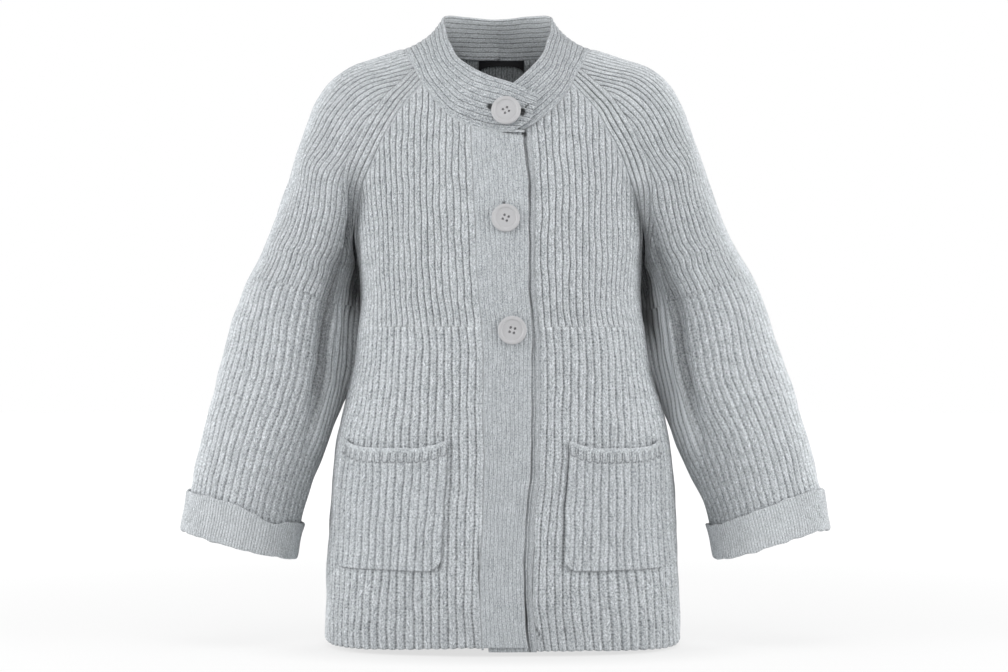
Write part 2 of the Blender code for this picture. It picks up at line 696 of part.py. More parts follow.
def add_cuff(name, side, finish):
    """Carries the cuff's section round the end of the sleeve."""
    section = cuff_section()
    ribs = np.linspace(-ARM_RIBS, ARM_RIBS, CUFF_SIDES + 1)[:-1]
    down = (SLEEVE_LENGTH - section[:, 0])[:, None] + 0 * ribs
    plain, normals = sleeve_cloth(side, ribs + 0 * down, down)
    points = lean(plain + normals * section[:, 1][:, None, None])
    count, turns = points.shape[:2]
    index = np.arange(count * turns).reshape(count, turns)
    ring = np.concatenate([index, index[:, :1]], axis=1)
    add_object(name, points.reshape(-1, 3), grid_faces(np.concatenate([ring, ring[:1]])), finish)


# ---- Collar, buttons and label ----------------------------------------------------------------------------


@lru_cache
def collar_seam(side):
    """The neck seam of one side as a polyline, from the middle of the back past the middle front."""
    x = np.linspace(0, seam_point("back", 0.0)[0], 25)
    z = back_neck_height(x)
    back = np.stack([x, body_y("back", x, z), z], axis=-1)
    shares = np.linspace(0, 1, 30)
    over = [SLEEVE_SHEETS[f].at(0.0, shares * SLEEVE_SHEETS[f].length[0]) for f in ("back", "front")]
    across = np.linspace(seam_point("front", 0.0)[0], -40, 60)
    z = neck_height(side, across * side)
    front = np.stack([across, body_y("front", across, z), z], axis=-1)
    seam = np.concatenate([back, over[0][::-1][1:], over[1][1:], front[1:]])
    seam[:, 0] *= side
    if side < 0:
        seam[:, 1] -= overlap_lift(seam[:, 0])
    return seam


def half_collar(side, share, up):
    """Points of half of the collar: share along its seam (1 is the middle front), and up from 0 to 1."""
    seam = collar_seam(side)
    run = running_length(seam)
    front = len(seam) - 59 + np.argmin(np.abs(seam[-59:, 0]))
    distance = share * run[front]
    base = np.stack([np.interp(distance, run, seam[:, i]) for i in range(3)], axis=-1)
    names = [("right_" if side < 0 else "left_") + axis for axis in "xyz"]
    top = np.stack([smooth(share, COLLAR_TOP["share"], COLLAR_TOP[n]) for n in names], axis=-1)
    points = base + (top - base) * up[..., None]
    away = unit(np.stack([points[..., 0], points[..., 1] + 15, 45 + 0 * share], axis=-1))
    bow = smooth(share, COLLAR_TOP["share"], COLLAR_TOP["bow"])
    return points + away * (bow * 4 * up * (1 - up))[..., None]


def collar_surface(share, up):
    """The whole collar: right shares are below 0, left ones above."""
    right, left = (half_collar(side, np.abs(share), up) for side in (-1, 1))
    return np.where((share < 0)[..., None], right, left)


def collar_cloth(share, up):
    points = collar_surface(share, up)
    centre = points * UP + np.array([0, -15.0, 0])
    return points, normals_of(collar_surface, share, up, (0.01, 0.02), centre)


def add_collar(name, finish):
    shares = np.linspace(-COLLAR_RIGHT_END, COLLAR_LEFT_END, 2 * COLLAR_HALF_COLUMNS + 1)
    up = np.linspace(SEAM_GAP / 50, 1, 2 * COLLAR_RIBS + 1)
    plain, normals = collar_cloth(shares[:, None] + 0 * up, up + 0 * shares[:, None])
    relief = rib_relief(len(up), FINE_RELIEF, len(shares))
    wall(name, plain, normals, relief, finish, FINE_WALL, 3)


def button_profile():
    """Half of the button's section: distance from its axis and height above its back."""
    radius, thick = BUTTON_DIAMETER / 2, BUTTON_THICKNESS
    return [
        (0, 0), (radius - 2, 0), (radius, 1.3), (radius, thick - 1.2), (radius - 1.2, thick),
        (radius - 3.2, thick - 0.1), (radius - 4.4, thick - 1.1), (0, thick - 1.3),
    ]


def add_button(name, place, outward, turn, finish):
    """A turned disc with a raised rim, with four holes cut through it."""
    shape = bmesh.new()
    points = [shape.verts.new((r * MM, 0, h * MM)) for r, h in button_profile()]
    edges = [shape.edges.new(pair) for pair in zip(points, points[1:])]
    bmesh.ops.spin(
        shape, geom=points + edges, cent=(0, 0, 0), axis=(0, 0, 1), angle=2 * math.pi, steps=20
    )
    bmesh.ops.remove_doubles(shape, verts=shape.verts, dist=0.01 * MM)
    bmesh.ops.recalc_face_normals(shape, faces=shape.faces)
    mesh = bpy.data.meshes.new(name)
    shape.to_mesh(mesh)
    shape.free()
    mesh.materials.append(finish)
    button = bpy.data.objects.new(name, mesh)
    bpy.context.scene.collection.objects.link(button)

    holes = bmesh.new()
    for quarter in range(4):
        angle = math.radians(turn + 90 * quarter)
        reach = BUTTON_HOLE_PITCH / math.sqrt(2) * MM
        made = bmesh.ops.create_cone(
            holes, cap_ends=True, segments=6, radius1=BUTTON_HOLE_DIAMETER / 2 * MM,
            radius2=BUTTON_HOLE_DIAMETER / 2 * MM, depth=4 * BUTTON_THICKNESS * MM,
        )
        bmesh.ops.translate(
            holes, verts=made["verts"], vec=(reach * math.cos(angle), reach * math.sin(angle), 0)
        )
    cutter_mesh = bpy.data.meshes.new(name + "_holes")
    holes.to_mesh(cutter_mesh)
    holes.free()
    cutter = bpy.data.objects.new(name + "_holes", cutter_mesh)
    bpy.context.scene.collection.objects.link(cutter)
    cutter.hide_render = True
    cutter.display_type = "WIRE"
    cut = button.modifiers.new("holes", "BOOLEAN")
    cut.operation = "DIFFERENCE"
    cut.solver = "EXACT"
    cut.object = cutter

    for obj in (button, cutter):
        obj.rotation_mode = "QUATERNION"
        obj.rotation_quaternion = Vector(outward).to_track_quat("Z", "Y")
        obj.location = Vector(place) * MM
    return button


def button_places():
    """Each button's seat and outward direction: the top one on the collar's lap, the others on the band."""
    places = []
    for height, across, turn in zip(BUTTONS["height"], BUTTONS["across"], BUTTONS["turn"]):
        if height > neck_height(-1, 0.0):
            shares, up = np.meshgrid(-np.linspace(0.97, 1.09, 25), np.linspace(0, 1, 41))
            points, normals = collar_cloth(shares, up)
            nearest = np.hypot(points[..., 0] - across, points[..., 2] - height).argmin()
            seat, out = points.reshape(-1, 3)[nearest], normals.reshape(-1, 3)[nearest]
        else:
            low, high = band_edges(-1, height)
            share = np.array([(across - low) / (high - low)])
            seat, out = (found[0] for found in band_cloth(-1, share, np.array([height])))
        places.append((lean(seat + out * (FINE_RELIEF + LAYER_GAP + 0.5)), out, turn))
    return places


def add_label(name, finish):
    """A plain woven label sewn in below the back neck seam, deeper at its two ends."""
    x = np.linspace(-LABEL_HALF_WIDTH, LABEL_HALF_WIDTH, 9) + LABEL_SHIFT
    share = (x - LABEL_SHIFT) / LABEL_HALF_WIDTH
    drop = LABEL_MIDDLE_DROP + (LABEL_END_DROP - LABEL_MIDDLE_DROP) * share**4
    rows = np.linspace(1, 0, 4)[:, None]
    heights = back_neck_height(0.0) - 1.0 - drop * rows
    inside = body_y("back", x, heights) - WALL - LAYER_GAP
    away = LABEL_THICKNESS + 0.8 + 1.5 * rows * (1 - share**2)
    plain = np.stack([x + 0 * heights, inside - away, heights], axis=-1)
    backwards = np.zeros_like(plain) + np.array([0, 1.0, 0])
    wall(name, plain, backwards, 0 * heights, finish, LABEL_THICKNESS, 2)


def main():
    for obj in list(bpy.data.objects):
        bpy.data.objects.remove(obj, do_unlink=True)
    wool = material("marled_wool", WOOL, 0.95)
    fine_wool = material("fine_rib_wool", WOOL, 0.95)
    plastic = material("button_grey", BUTTON_GREY, 0.35)
    woven = material("label_black", LABEL_BLACK, 0.8)

    add_front("front_right", -1, wool)
    add_front("front_left", 1, wool)
    add_back("back", wool)
    add_sleeve("sleeve_right", -1, wool)
    add_sleeve("sleeve_left", 1, wool)
    add_cuff("cuff_right", -1, fine_wool)
    add_cuff("cuff_left", 1, fine_wool)
    add_band("band_right", -1, fine_wool)
    add_band("band_left", 1, fine_wool)
    add_collar("collar", fine_wool)
    add_pocket("pocket_right", -1, wool)
    add_pocket("pocket_left", 1, wool)
    for name, (place, outward, turn) in zip(("button_top", "button_middle", "button_low"), button_places()):
        add_button(name, place, outward, turn, plastic)
    add_label("label", woven)


main()
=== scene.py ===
"""Button cardigan in chunky rib knit: knitted surfaces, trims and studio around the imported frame.

Metres in the scene, millimetres in the tables. +Z is up and the front faces -Y. Right and left are the
wearer's: right is -X and left is +X.
"""

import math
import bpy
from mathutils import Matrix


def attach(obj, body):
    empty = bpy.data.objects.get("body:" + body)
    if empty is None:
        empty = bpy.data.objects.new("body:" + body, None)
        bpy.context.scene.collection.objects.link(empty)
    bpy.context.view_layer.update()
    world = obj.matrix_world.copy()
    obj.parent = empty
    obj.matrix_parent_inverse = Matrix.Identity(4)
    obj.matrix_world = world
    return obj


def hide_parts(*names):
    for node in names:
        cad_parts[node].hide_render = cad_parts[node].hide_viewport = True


bl_info = {
    "name": "Button Cardigan",
    "version": (1, 0, 0),
    "blender": (4, 5, 0),
    "location": "View3D > Sidebar > Cardigan",
    "description": "Builds a chunky rib-knit button cardigan around its frame",
    "category": "Add Mesh",
}

from functools import lru_cache, partial

import bpy
import numpy as np
from bpy.props import FloatProperty, FloatVectorProperty, PointerProperty
from mathutils import Vector

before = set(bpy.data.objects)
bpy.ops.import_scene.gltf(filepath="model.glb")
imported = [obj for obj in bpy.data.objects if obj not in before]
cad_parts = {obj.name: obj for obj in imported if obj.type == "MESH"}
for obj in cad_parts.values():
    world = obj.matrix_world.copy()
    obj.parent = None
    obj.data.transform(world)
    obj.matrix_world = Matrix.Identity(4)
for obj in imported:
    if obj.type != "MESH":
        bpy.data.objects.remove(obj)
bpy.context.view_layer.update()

MM = 0.001
UP = np.array([0.0, 0.0, 1.0])
WORD = {-1: "right", 1: "left"}  # the sides by the sign of their x
RIGHT, LEFT, BOTH = (-1,), (1,), (-1, 1)

# The cloth.
WALL = 2.2  # thickness in the valley between two ribs
RIB_RELIEF = 1.7  # height of a body rib above its valleys
FINE_WALL = 2.2  # thickness of the collar, bands and cuffs
SEAM_GAP = 0.4  # a piece stops this far short of the seam line
LAYER_GAP = 0.3  # between a piece and what it lies on

# Ribs. Places across the fronts and the back count even ribs, and the knit has ribs of its own.
FRONT_RIBS = 28  # even ribs of a front, from its band to the side seam
FRONT_KNIT = {"right": (25, 28), "left": (22, 25)}  # its knitted ribs, below and above the stitch change
BACK_RIBS = 30  # even ribs from the middle of the back to a side seam, knitted so above the stitch change
BACK_KNIT = 26  # the knitted ribs below it
BAND_RIBS = 11
COLLAR_RIBS = 9
ARM_RIBS = 24  # on half of a sleeve, from the outer line to the underarm
CUFF_RIBS = 128

# The body.
HEM = -634.0
UNDERARM = -224.0
HEM_SIDE_DROP = 2.5  # the hem drops this much on its way from the middle to the side seams
HEM_SIDE_RISE = 13.0  # and then it turns up, by 0.58 of this at the seams
RIB_END = 1.0  # the crest of a rib ends this much lower than its valleys
CHEST_NARROWING = 0.08  # share by which rib spacing shrinks from the underarm to the shoulder

# The right front's band lies over the left one, so the right front is lifted towards it.
LEFT_BAND_WIDTH = 50.0
OVERLAP_LIFT = 3.8
LIFT_START = -78.0
LIFT_FULL = -26.0

# Sleeves end in a turned-up cuff.
CUFF_HEIGHT = 44.0
CUFF_FOLD = 6.6  # from the outside of the cuff to the inside of the sleeve, at the fold
SLEEVE_END = 13.0  # the sleeve's own edge is this far above the fold

BUTTON_DIAMETER = 30.0
BUTTON_THICKNESS = 4.2
BUTTON_SEAT = 0.8  # height of the fine ribs below a button
BUTTON_STAND = 0.5  # a button stands this much further off them than a layer of cloth does
BUTTON_DISH = 1.3  # depth of its dished face, and radius of its rounded edge
BUTTON_RIM = 1.2  # height of its rim
BUTTON_HOLE_PITCH = 4.7
BUTTON_HOLE_DIAMETER = 2.3
BUTTON_SIDES = 104


def table(columns, *rows):
    """A table as one array for each named column."""
    return {name: np.array([row[i] for row in rows], float) for i, name in enumerate(columns)}


# Half sections of the body: half of its width, and how far its front and back reach from the side seams.
# Roundness is the exponent of a section's curve: 2 is an ellipse, and more is boxier.
BODY = table(
    ("height", "half_width", "front", "back", "roundness"),
    (-640, 192.5, 143, 128, 2.7),
    (-560, 191.0, 142, 122, 2.6),
    (-500, 188.0, 141, 114, 2.5),
    (-430, 182.5, 140, 105, 2.4),
    (-400, 177.0, 139, 102, 2.4),
    (-375, 171.0, 138, 100, 2.3),
    (-345, 163.5, 138, 99, 2.3),
    (-297, 156.0, 137, 98, 2.3),
    (-250, 152.5, 134, 100, 2.3),
    (-224, 154.0, 131, 103, 2.3),
    (-190, 159.0, 126, 106, 2.3),
    (-156, 163.0, 119, 108, 2.3),
    (-125, 166.0, 110, 107, 2.3),
    (-100, 168.0, 101, 104, 2.3),
    (-60, 170.0, 82, 97, 2.3),
    (-30, 170.0, 60, 88, 2.3),
    (12, 168.0, 34, 70, 2.3),
)

# A sleeve from the collar to the fold of its cuff. The outer line runs over the shoulder and down the arm.
# The front and back seams leave the collar, run round the body at these angles from its middle, and meet
# under the arm. Below that, the inner line hangs clear of the body's side. Fullness is the section's curve
# as a share of its width, turn says how far its ends have turned to face front and back, and ribs is the
# number of ribs from the outer line to a seam.
SLEEVE = table(
    ("outer_x", "outer_z", "front_angle", "front_z", "back_angle", "back_z", "clear", "fullness", "turn",
     "ribs", "forward"),
    (102.0, 11, 25.2, -30, 22.5, 11, 0, 0.36, 0.00, 10.4, 0),
    (136.0, 0, 30.0, -45, 28.1, -5, 0, 0.38, 0.00, 12.4, 0),
    (168.0, -13, 35.7, -63, 34.2, -27, 0, 0.42, 0.05, 14.4, 0),
    (192.5, -37, 43.0, -88, 41.6, -56, 0, 0.44, 0.15, 15.6, 0),
    (210.0, -77, 52.2, -117, 50.4, -92, 0, 0.51, 0.35, 16.2, 0),
    (226.5, -125, 63.8, -150, 61.0, -135, 0, 0.60, 0.60, 17.6, 0),
    (242.0, -169, 78.0, -190, 75.0, -182, 0, 0.70, 0.85, 19.4, 0),
    (251.0, -192, 90.0, -224, 90.0, -224, 2.4, 0.79, 1.00, 22.3, 0),
    (261.0, -214, 90.0, -248, 90.0, -248, 7.5, 0.73, 1.00, 23.1, -1),
    (273.5, -236, 90.0, -273, 90.0, -273, 8.0, 0.68, 1.00, 24.0, -2),
    (285.5, -264, 90.0, -300, 90.0, -300, 7.5, 0.64, 1.00, 24.0, -3),
    (303.0, -322, 90.0, -361, 90.0, -361, 5.0, 0.58, 1.00, 24.0, -6),
    (320.0, -385, 90.0, -421, 90.0, -421, 13.5, 0.58, 1.00, 24.0, -9),
    (336.0, -450, 90.0, -486, 90.0, -486, 31.0, 0.60, 1.00, 24.0, -12),
    (341.0, -475, 90.0, -510, 90.0, -510, 35.0, 0.61, 1.00, 24.0, -13),
    (349.0, -517, 90.0, -547, 90.0, -547, 40.0, 0.62, 1.00, 24.0, -15),
)
UNDERARM_ROW = 7

# The neckline in front, by distance from the middle. The right front lies over the left.
NECKLINE = table(
    ("across", "right_z", "left_z"),
    (-40, -92, -94),
    (0, -85, -86),
    (16, -82.5, -83.5),
    (33, -77, -80),
    (55, -64, -63),
    (72, -44, -45),
    (81, -30, -30),
)

# The collar's top edge, by share of the way along its seam from the middle of the back to the middle front.
COLLAR_TOP = table(
    ("share", "right_x", "right_y", "right_z", "left_x", "left_y", "left_z", "bow"),
    (-0.14, 33, 54, 54, -33, 54, 54, 0),
    (0.00, 0, 60, 52, 0, 60, 52, 2),
    (0.14, -33, 54, 54, 33, 54, 54, 0),
    (0.24, -50, 41, 54, 50, 41, 54, -3),
    (0.34, -57, 23, 51.5, 57, 23, 51.5, -6),
    (0.44, -58.5, 2, 46, 58.5, 2, 46, -6),
    (0.54, -57, -17, 31, 57.5, -17, 31, -4),
    (0.62, -52, -32, 16, 53.5, -31, 17, -1),
    (0.70, -44.5, -46, 1, 48, -45, 3, 1),
    (0.80, -29, -60, -13, 37, -58, -12, 2),
    (0.90, -8, -71.5, -23.5, 24, -67.5, -25, 3),
    (1.00, 17, -82, -32, 9, -75.5, -38, 3),
    (1.10, 45, -91, -45.5, -7, -82, -49, 2),
)
COLLAR_RIGHT_END = 1.10  # shares at which its two ends stop, the right one over the left
COLLAR_LEFT_END = 1.03
COLLAR_END_RISE = 4.5  # the lower edge of the right end rises this much over the lap
COLLAR_HALF_LENGTH = 335.0
COLLAR_HEIGHT = 50.0
NECK_Y = -15.0  # middle of the neck's opening, from front to back
NECK_PAST_MIDDLE = 40.0  # the neckline is followed this far past the middle front
NECK_FRONT_POINTS = 60

# The button bands: the right band's seam with its front, its free edge, and the left band's seam.
BANDS = table(
    ("height", "right_seam", "free_edge", "left_seam"),
    (-640, -20.5, 28.5, 36.0),
    (-560, -23.5, 21.6, 29.6),
    (-500, -21.0, 23.4, 31.4),
    (-455, -19.3, 27.7, 35.8),
    (-400, -18.8, 30.5, 38.0),
    (-350, -18.2, 31.6, 39.5),
    (-308, -19.0, 32.5, 39.0),
    (-266, -22.5, 31.2, 37.0),
    (-203, -24.0, 31.7, 37.0),
    (-141, -25.3, 31.5, 37.3),
    (-98, -26.8, 28.8, 35.4),
    (-60, -27.0, 28.3, 35.0),
)
# How the whole garment leans a little to one side.
LEAN = table(
    ("height", "x"), (-640, 0.5), (-450, 1.3), (-400, 0.8), (-250, -2), (-150, -4.2), (0, -4.7), (60, -5.2),
)
LEFT_ARM_SWAY = 5.0  # the left sleeve hangs this much further out at its cuff

# Soft folds: sides, half width in ribs, depth in millimetres (positive is out of the cloth) and a line of
# ribs and places, which are heights on the body and distances down the outer line on a sleeve.
FRONT_FOLDS = (
    (BOTH, 1.7, -3.0, ((24.5, -235), (20.5, -120))),
    (RIGHT, 4.0, 2.5, ((15.0, -640), (13.5, -560))),
    (LEFT, 1.6, -3.0, ((3.5, -640), (3.0, -560))),
    (LEFT, 3.5, 2.5, ((13.0, -640), (13.0, -540))),
    (RIGHT, 0.6, -1.8, ((4.3, -428), (3.8, -400))),
    (LEFT, 0.6, -1.5, ((19.3, -424), (19.8, -398))),
)
BACK_FOLDS = (
    (RIGHT, 4.0, 5.0, ((12.0, -640), (10.0, -420))),
    (LEFT, 4.0, 5.0, ((13.0, -640), (11.0, -420))),
    (BOTH, 2.0, -3.5, ((25.0, -250), (20.0, -110))),
)
SLEEVE_FOLDS = (
    (RIGHT, 0.9, -7.0, ((15.4, 170), (17.4, 262), (18.2, 300))),
    (LEFT, 0.9, -7.0, ((14.6, 170), (16.4, 262), (17.4, 300))),
    (BOTH, 0.8, -8.0, ((15.6, 255), (16.5, 359), (16.8, 414), (19.0, 500))),
    (BOTH, 3.2, -11.0, ((19.8, 230), (20.2, 350), (20.8, 470))),
    (RIGHT, 0.7, 4.0, ((18.2, 290), (18.8, 349), (19.2, 393), (19.2, 450))),
    (LEFT, 0.7, 4.0, ((18.0, 290), (18.6, 352), (19.0, 395), (19.2, 450))),
    (RIGHT, 0.6, 3.0, ((20.8, 300), (21.0, 360), (21.4, 430))),
    (LEFT, 0.6, 3.0, ((20.6, 300), (21.0, 360), (21.4, 430))),
    (BOTH, 2.3, 12.0, ((-21.2, 225), (-21.6, 350), (-22.4, 450))),
    (RIGHT, 2.2, -1.6, ((4.0, 280), (2.0, 380))),
    (LEFT, 2.4, -1.8, ((6.0, 300), (4.0, 420))),
    (BOTH, 2.5, -5.0, ((-14.0, 330), (-9.0, 450))),
    (LEFT, 6.0, 6.0, ((24.0, 410), (24.0, 555))),
)
# The line of painted shade along the crease on the inner half of each sleeve: its distance down the outer
# line and its rib.
ARM_CREASE = ((170, 262, 262.1, 359, 414, 500), (15.2, 17.2, 15.8, 16.6, 17.0, 19.0))

# How far the end of a sleeve dips or rises round its cuff, at the fold and at the cuff's free lip.
CUFF_WAVES = table(
    ("rib", "right_fold", "right_lip", "left_fold", "left_lip"),
    (0, 0, 0, 0, 0),
    (5, -1.5, -2.5, -5, -6.5),
    (9, -1, -5, -5, -6.5),
    (13, 0, -2, -3.2, -4),
    (16, 0, 4.5, -1.5, -2),
    (20, 0, -1.5, 0, 1),
    (24, 0, 0, 0, 0),
)

# Distance between two ribs near the outer line of a sleeve, by distance down it.
ARM_PITCH = table(
    ("down", "pitch"),
    (0, 7.25), (100, 7.8), (200, 8.2), (225, 8.0), (250, 7.7), (285, 7.5), (320, 7.8), (350, 8.1), (385, 8.4),
    (415, 8.5), (450, 8.3), (480, 8.0), (545, 7.85), (575, 7.8), (612, 7.8),
)
# How much further from its band a front's rib is than an even one, as a share. Negative shares bring ribs
# nearer, so they are narrow by the band and wide at the side seam.
RIB_SPREAD = table(
    ("height", "right", "left"),
    (-640, -0.19, -0.30),
    (-570, -0.19, -0.31),
    (-520, -0.16, -0.32),
    (-480, -0.12, -0.30),
    (-421, -0.10, -0.25),
    (-387, -0.10, -0.21),
    (-354, -0.09, -0.12),
    (-320, -0.09, -0.05),
    (-300, -0.08, -0.04),
    (-278, -0.05, -0.06),
    (-262, -0.03, -0.05),
    (-220, -0.01, 0.0),
    (-190, 0.0, 0.0),
    (20, 0.0, 0.0),
)

# Patch pockets, in ribs of the front and heights. The left one is sewn a little nearer to its band.
POCKET_RIBS = {-1: (4.5, 20.0), 1: (3.8, 19.0)}
POCKET_KNIT = {-1: 15, 1: 14}  # ribs knitted across each
POCKET_TOP = -422.5
POCKET_TOP_RISE = 11.0  # the mouth's ends stand this much above its middle
POCKET_BOTTOM = -551.0
POCKET_TOP_CORNER = 6.0
POCKET_BOTTOM_CORNER = 15.0
POCKET_GAPE = 1.8
POCKET_BORDER = 15.5  # depth of the mouth's border, whose rib ends are rounded tabs
POCKET_TAB_RADIUS = 3.0
POCKET_RIB_PITCH = 8.4

# Buttons from the top: places, turns in degrees and sizes as a share of the diameter.
BUTTONS = table(
    ("height", "across", "turn", "size"),
    (-64, 10.0, -17, 1.05),
    (-180, 7.0, 20, 1.0),
    (-298, 11.0, 30, 1.0),
)
# Lens-shaped slits as x, height, half length, half width and angle in degrees; each is dented and painted
# dark as shade. Beside the buttons the ends of their buttonholes show.
COLLAR_SLITS = ((-7.0, -58.8, 4.4, 4.2, 4), (27.4, -64.5, 4.4, 5.6, -3), (32.5, -58.0, 5.0, 1.0, 40))
BAND_SLITS = ((4.6, -164.5, 3.4, 1.5, 12), (28.2, -87.0, 6.5, 3.0, -62))
# Creases of the fronts, dented and painted dark as shade: along their bands' seams near the hem, and above
# the end of the right pocket's mouth.
FRONT_SLITS = {
    -1: ((-25.5, -545.0, 42.0, 1.0, 91), (-69.0, -408.0, 5.5, 0.9, 84)),
    1: ((30.6, -535.0, 60.0, 1.1, 90.8), (36.5, -612.0, 14.0, 1.2, -62)),
}

SEAM_YARN_RADIUS = 1.4
SEAM_YARN_SIDES = 8
SEAM_YARN_SUNK = 0.75  # the middle of the yarn is this far below the cloth's surface

LABEL_HALF_WIDTH = 25.0
LABEL_MIDDLE_DROP = 5.9
LABEL_END_DROP = 12.0
LABEL_THICKNESS = 0.8
LABEL_SHIFT = 3.7
LABEL_THREAD = 0.5  # width of one of its threads


# ---- Curves and sheets of cloth ---------------------------------------------------------------------------


def smooth(value, at, known):
    """The curve through the points (at, known), cubic between them with the slopes of its neighbours."""
    slope = np.gradient(known, at)
    value = np.asarray(value, float)
    i = np.clip(np.searchsorted(at, value) - 1, 0, len(at) - 2)
    step = at[i + 1] - at[i]
    s = np.clip((value - at[i]) / step, 0, 1)
    return (
        (2 * s**3 - 3 * s**2 + 1) * known[i]
        + (s**3 - 2 * s**2 + s) * step * slope[i]
        + (3 * s**2 - 2 * s**3) * known[i + 1]
        + (s**3 - s**2) * step * slope[i + 1]
    )


def column(chart, name, value):
    """A column of a table, at values of the table's first column."""
    return smooth(value, next(iter(chart.values())), chart[name])


def ramp(value, start, end):
    """0 before start, 1 after end, and a soft S between."""
    s = np.clip((np.asarray(value, float) - start) / (end - start), 0, 1)
    return s * s * (3 - 2 * s)


def until(value, start, end):
    """1 before start, 0 after end, and a soft S between."""
    return 1 - ramp(value, start, end)


def bell(distance, width):
    """The bell curve, 1 at no distance and e to the power of -1 at the width."""
    return np.exp(-((distance / width) ** 2))


def unit(vectors):
    """The vectors divided by their lengths."""
    return vectors / np.maximum(np.linalg.norm(vectors, axis=-1, keepdims=True), 1e-9)


def running_length(points):
    """Length of each polyline up to each of its points."""
    steps = np.linalg.norm(np.diff(points, axis=-2), axis=-1)
    return np.concatenate([np.zeros(steps.shape[:-1] + (1,)), np.cumsum(steps, axis=-1)], axis=-1)


class Sheet:
    """Curved cloth known by a row of curves, one at each station, each measured from its own start."""

    SHARES = 96

    def __init__(self, stations, curves):
        self.stations = stations
        along = running_length(curves)
        self.length = along[:, -1]
        shares = np.linspace(0, 1, self.SHARES + 1)
        self.points = np.array([
            [np.interp(shares * length, run, curve[:, i]) for i in range(3)]
            for curve, run, length in zip(curves, along, self.length)
        ]).transpose(0, 2, 1)

    def length_at(self, station):
        """The length of the cloth's curve at a station."""
        return np.interp(station, self.stations, self.length)

    def at(self, station, distance):
        """The points at a station and a distance along its curve, blended from their four neighbours."""
        station, distance = np.broadcast_arrays(np.asarray(station, float), np.asarray(distance, float))
        row = np.interp(station, self.stations, np.arange(len(self.stations)))
        place = np.clip(distance / self.length_at(station), 0, 1) * self.SHARES
        r = np.clip(row.astype(int), 0, len(self.stations) - 2)
        c = np.clip(place.astype(int), 0, self.SHARES - 1)
        a, b = (row - r)[..., None], (place - c)[..., None]
        first = (1 - b) * self.points[r, c] + b * self.points[r, c + 1]
        second = (1 - b) * self.points[r + 1, c] + b * self.points[r + 1, c + 1]
        return (1 - a) * first + a * second


def body_size(face, height):
    """Half width, reach to the front or back, and roundness of the body's section at a height."""
    return [column(BODY, name, height) for name in ("half_width", face, "roundness")]


def body_point(face, angle, height):
    """A point of the body's surface, at an angle in degrees from its middle line, on the left side.

    Each section is a superellipse: its half axes times sine and cosine to the power of 2 / roundness."""
    width, depth, roundness = body_size(face, height)
    turn = np.radians(angle)
    x = width * np.abs(np.sin(turn)) ** (2 / roundness)
    y = depth * np.abs(np.cos(turn)) ** (2 / roundness)
    return np.stack([x, -y if face == "front" else y, height + 0 * x], axis=-1)


def body_y(face, x, height):
    """How far forward or back the superellipse of the body reaches, at a distance from its middle."""
    width, depth, roundness = body_size(face, height)
    reach = depth * (1 - (np.abs(x) / width) ** roundness) ** (1 / roundness)
    return -reach if face == "front" else reach


def body_sheet(face):
    """A quarter of the body, from its middle line to its side."""
    heights = np.linspace(BODY["height"][0], BODY["height"][-1], 164)
    angles = np.linspace(0, 90, 181)
    return Sheet(heights, body_point(face, angles[None, :], heights[:, None]))


BODY_SHEETS = {"front": body_sheet("front"), "back": body_sheet("back")}

SLEEVE_DOWN = running_length(np.stack([SLEEVE["outer_x"], SLEEVE["outer_z"]], axis=-1))
SLEEVE_LENGTH = SLEEVE_DOWN[-1]
SLEEVE_UNDERARM = SLEEVE_DOWN[UNDERARM_ROW]


def sleeve_column(name, down):
    """A column of the sleeve's table at distances down its outer line."""
    return smooth(down, SLEEVE_DOWN, SLEEVE[name])


def outer_line(down):
    """The left sleeve's outer line, over the shoulder and down the arm."""
    return np.stack([sleeve_column(name, down) for name in ("outer_x", "forward", "outer_z")], axis=-1)


def seam_point(face, down):
    """The front or back edge of the left sleeve: on the body until the underarm, and then its inner line."""
    point = body_point(face, sleeve_column(face + "_angle", down), sleeve_column(face + "_z", down))
    point[..., 0] += sleeve_column("clear", down)
    point[..., 1] += sleeve_column("forward", down)
    return point


def out_of_body(face, angle, height):
    """Unit normals of the body at an angle from its middle line: small steps round it and up it, crossed."""
    step = 1.0
    height = np.minimum(height, BODY["height"][-1] - step)
    further = np.minimum(angle + step, 90)
    round_body = body_point(face, further, height) - body_point(face, angle - step, height)
    up_body = body_point(face, angle, height + step) - body_point(face, angle, height - step)
    normals = unit(np.cross(round_body, up_body))
    return normals if face == "front" else -normals


def sleeve_sheet(face):
    """Half of the left sleeve: each section is a cubic from the outer line to a seam, or to the inner line.

    It leaves the outer line straight forward or back. At the seam it leaves along the body, and the further
    down the arm, the more it turns forward or back there too."""
    down = np.linspace(0, SLEEVE_LENGTH, 156)
    outer, seam = outer_line(down), seam_point(face, down)
    across = outer - seam
    reach = np.linalg.norm(across, axis=-1, keepdims=True) * sleeve_column("fullness", down)[:, None]
    forward = np.array([0.0, -1.0 if face == "front" else 1.0, 0.0])
    out = out_of_body(face, sleeve_column(face + "_angle", down), seam[:, 2])
    along_body = unit(across - np.sum(across * out, axis=-1, keepdims=True) * out)
    turn = sleeve_column("turn", down)[:, None]
    leave = unit((1 - turn) * along_body + turn * forward)
    s = np.linspace(0, 1, 121)[None, :, None]
    corners = [p[:, None, :] for p in (outer, outer + reach * forward, seam + reach * leave, seam)]
    curves = (
        (1 - s) ** 3 * corners[0] + 3 * s * (1 - s) ** 2 * corners[1]
        + 3 * s**2 * (1 - s) * corners[2] + s**3 * corners[3]
    )
    return Sheet(down, curves)


SLEEVE_SHEETS = {"front": sleeve_sheet("front"), "back": sleeve_sheet("back")}


def lean(points):
    """The whole garment's slight lean to one side."""
    points = np.array(points, float)
    points[..., 0] += column(LEAN, "x", points[..., 2])
    return points


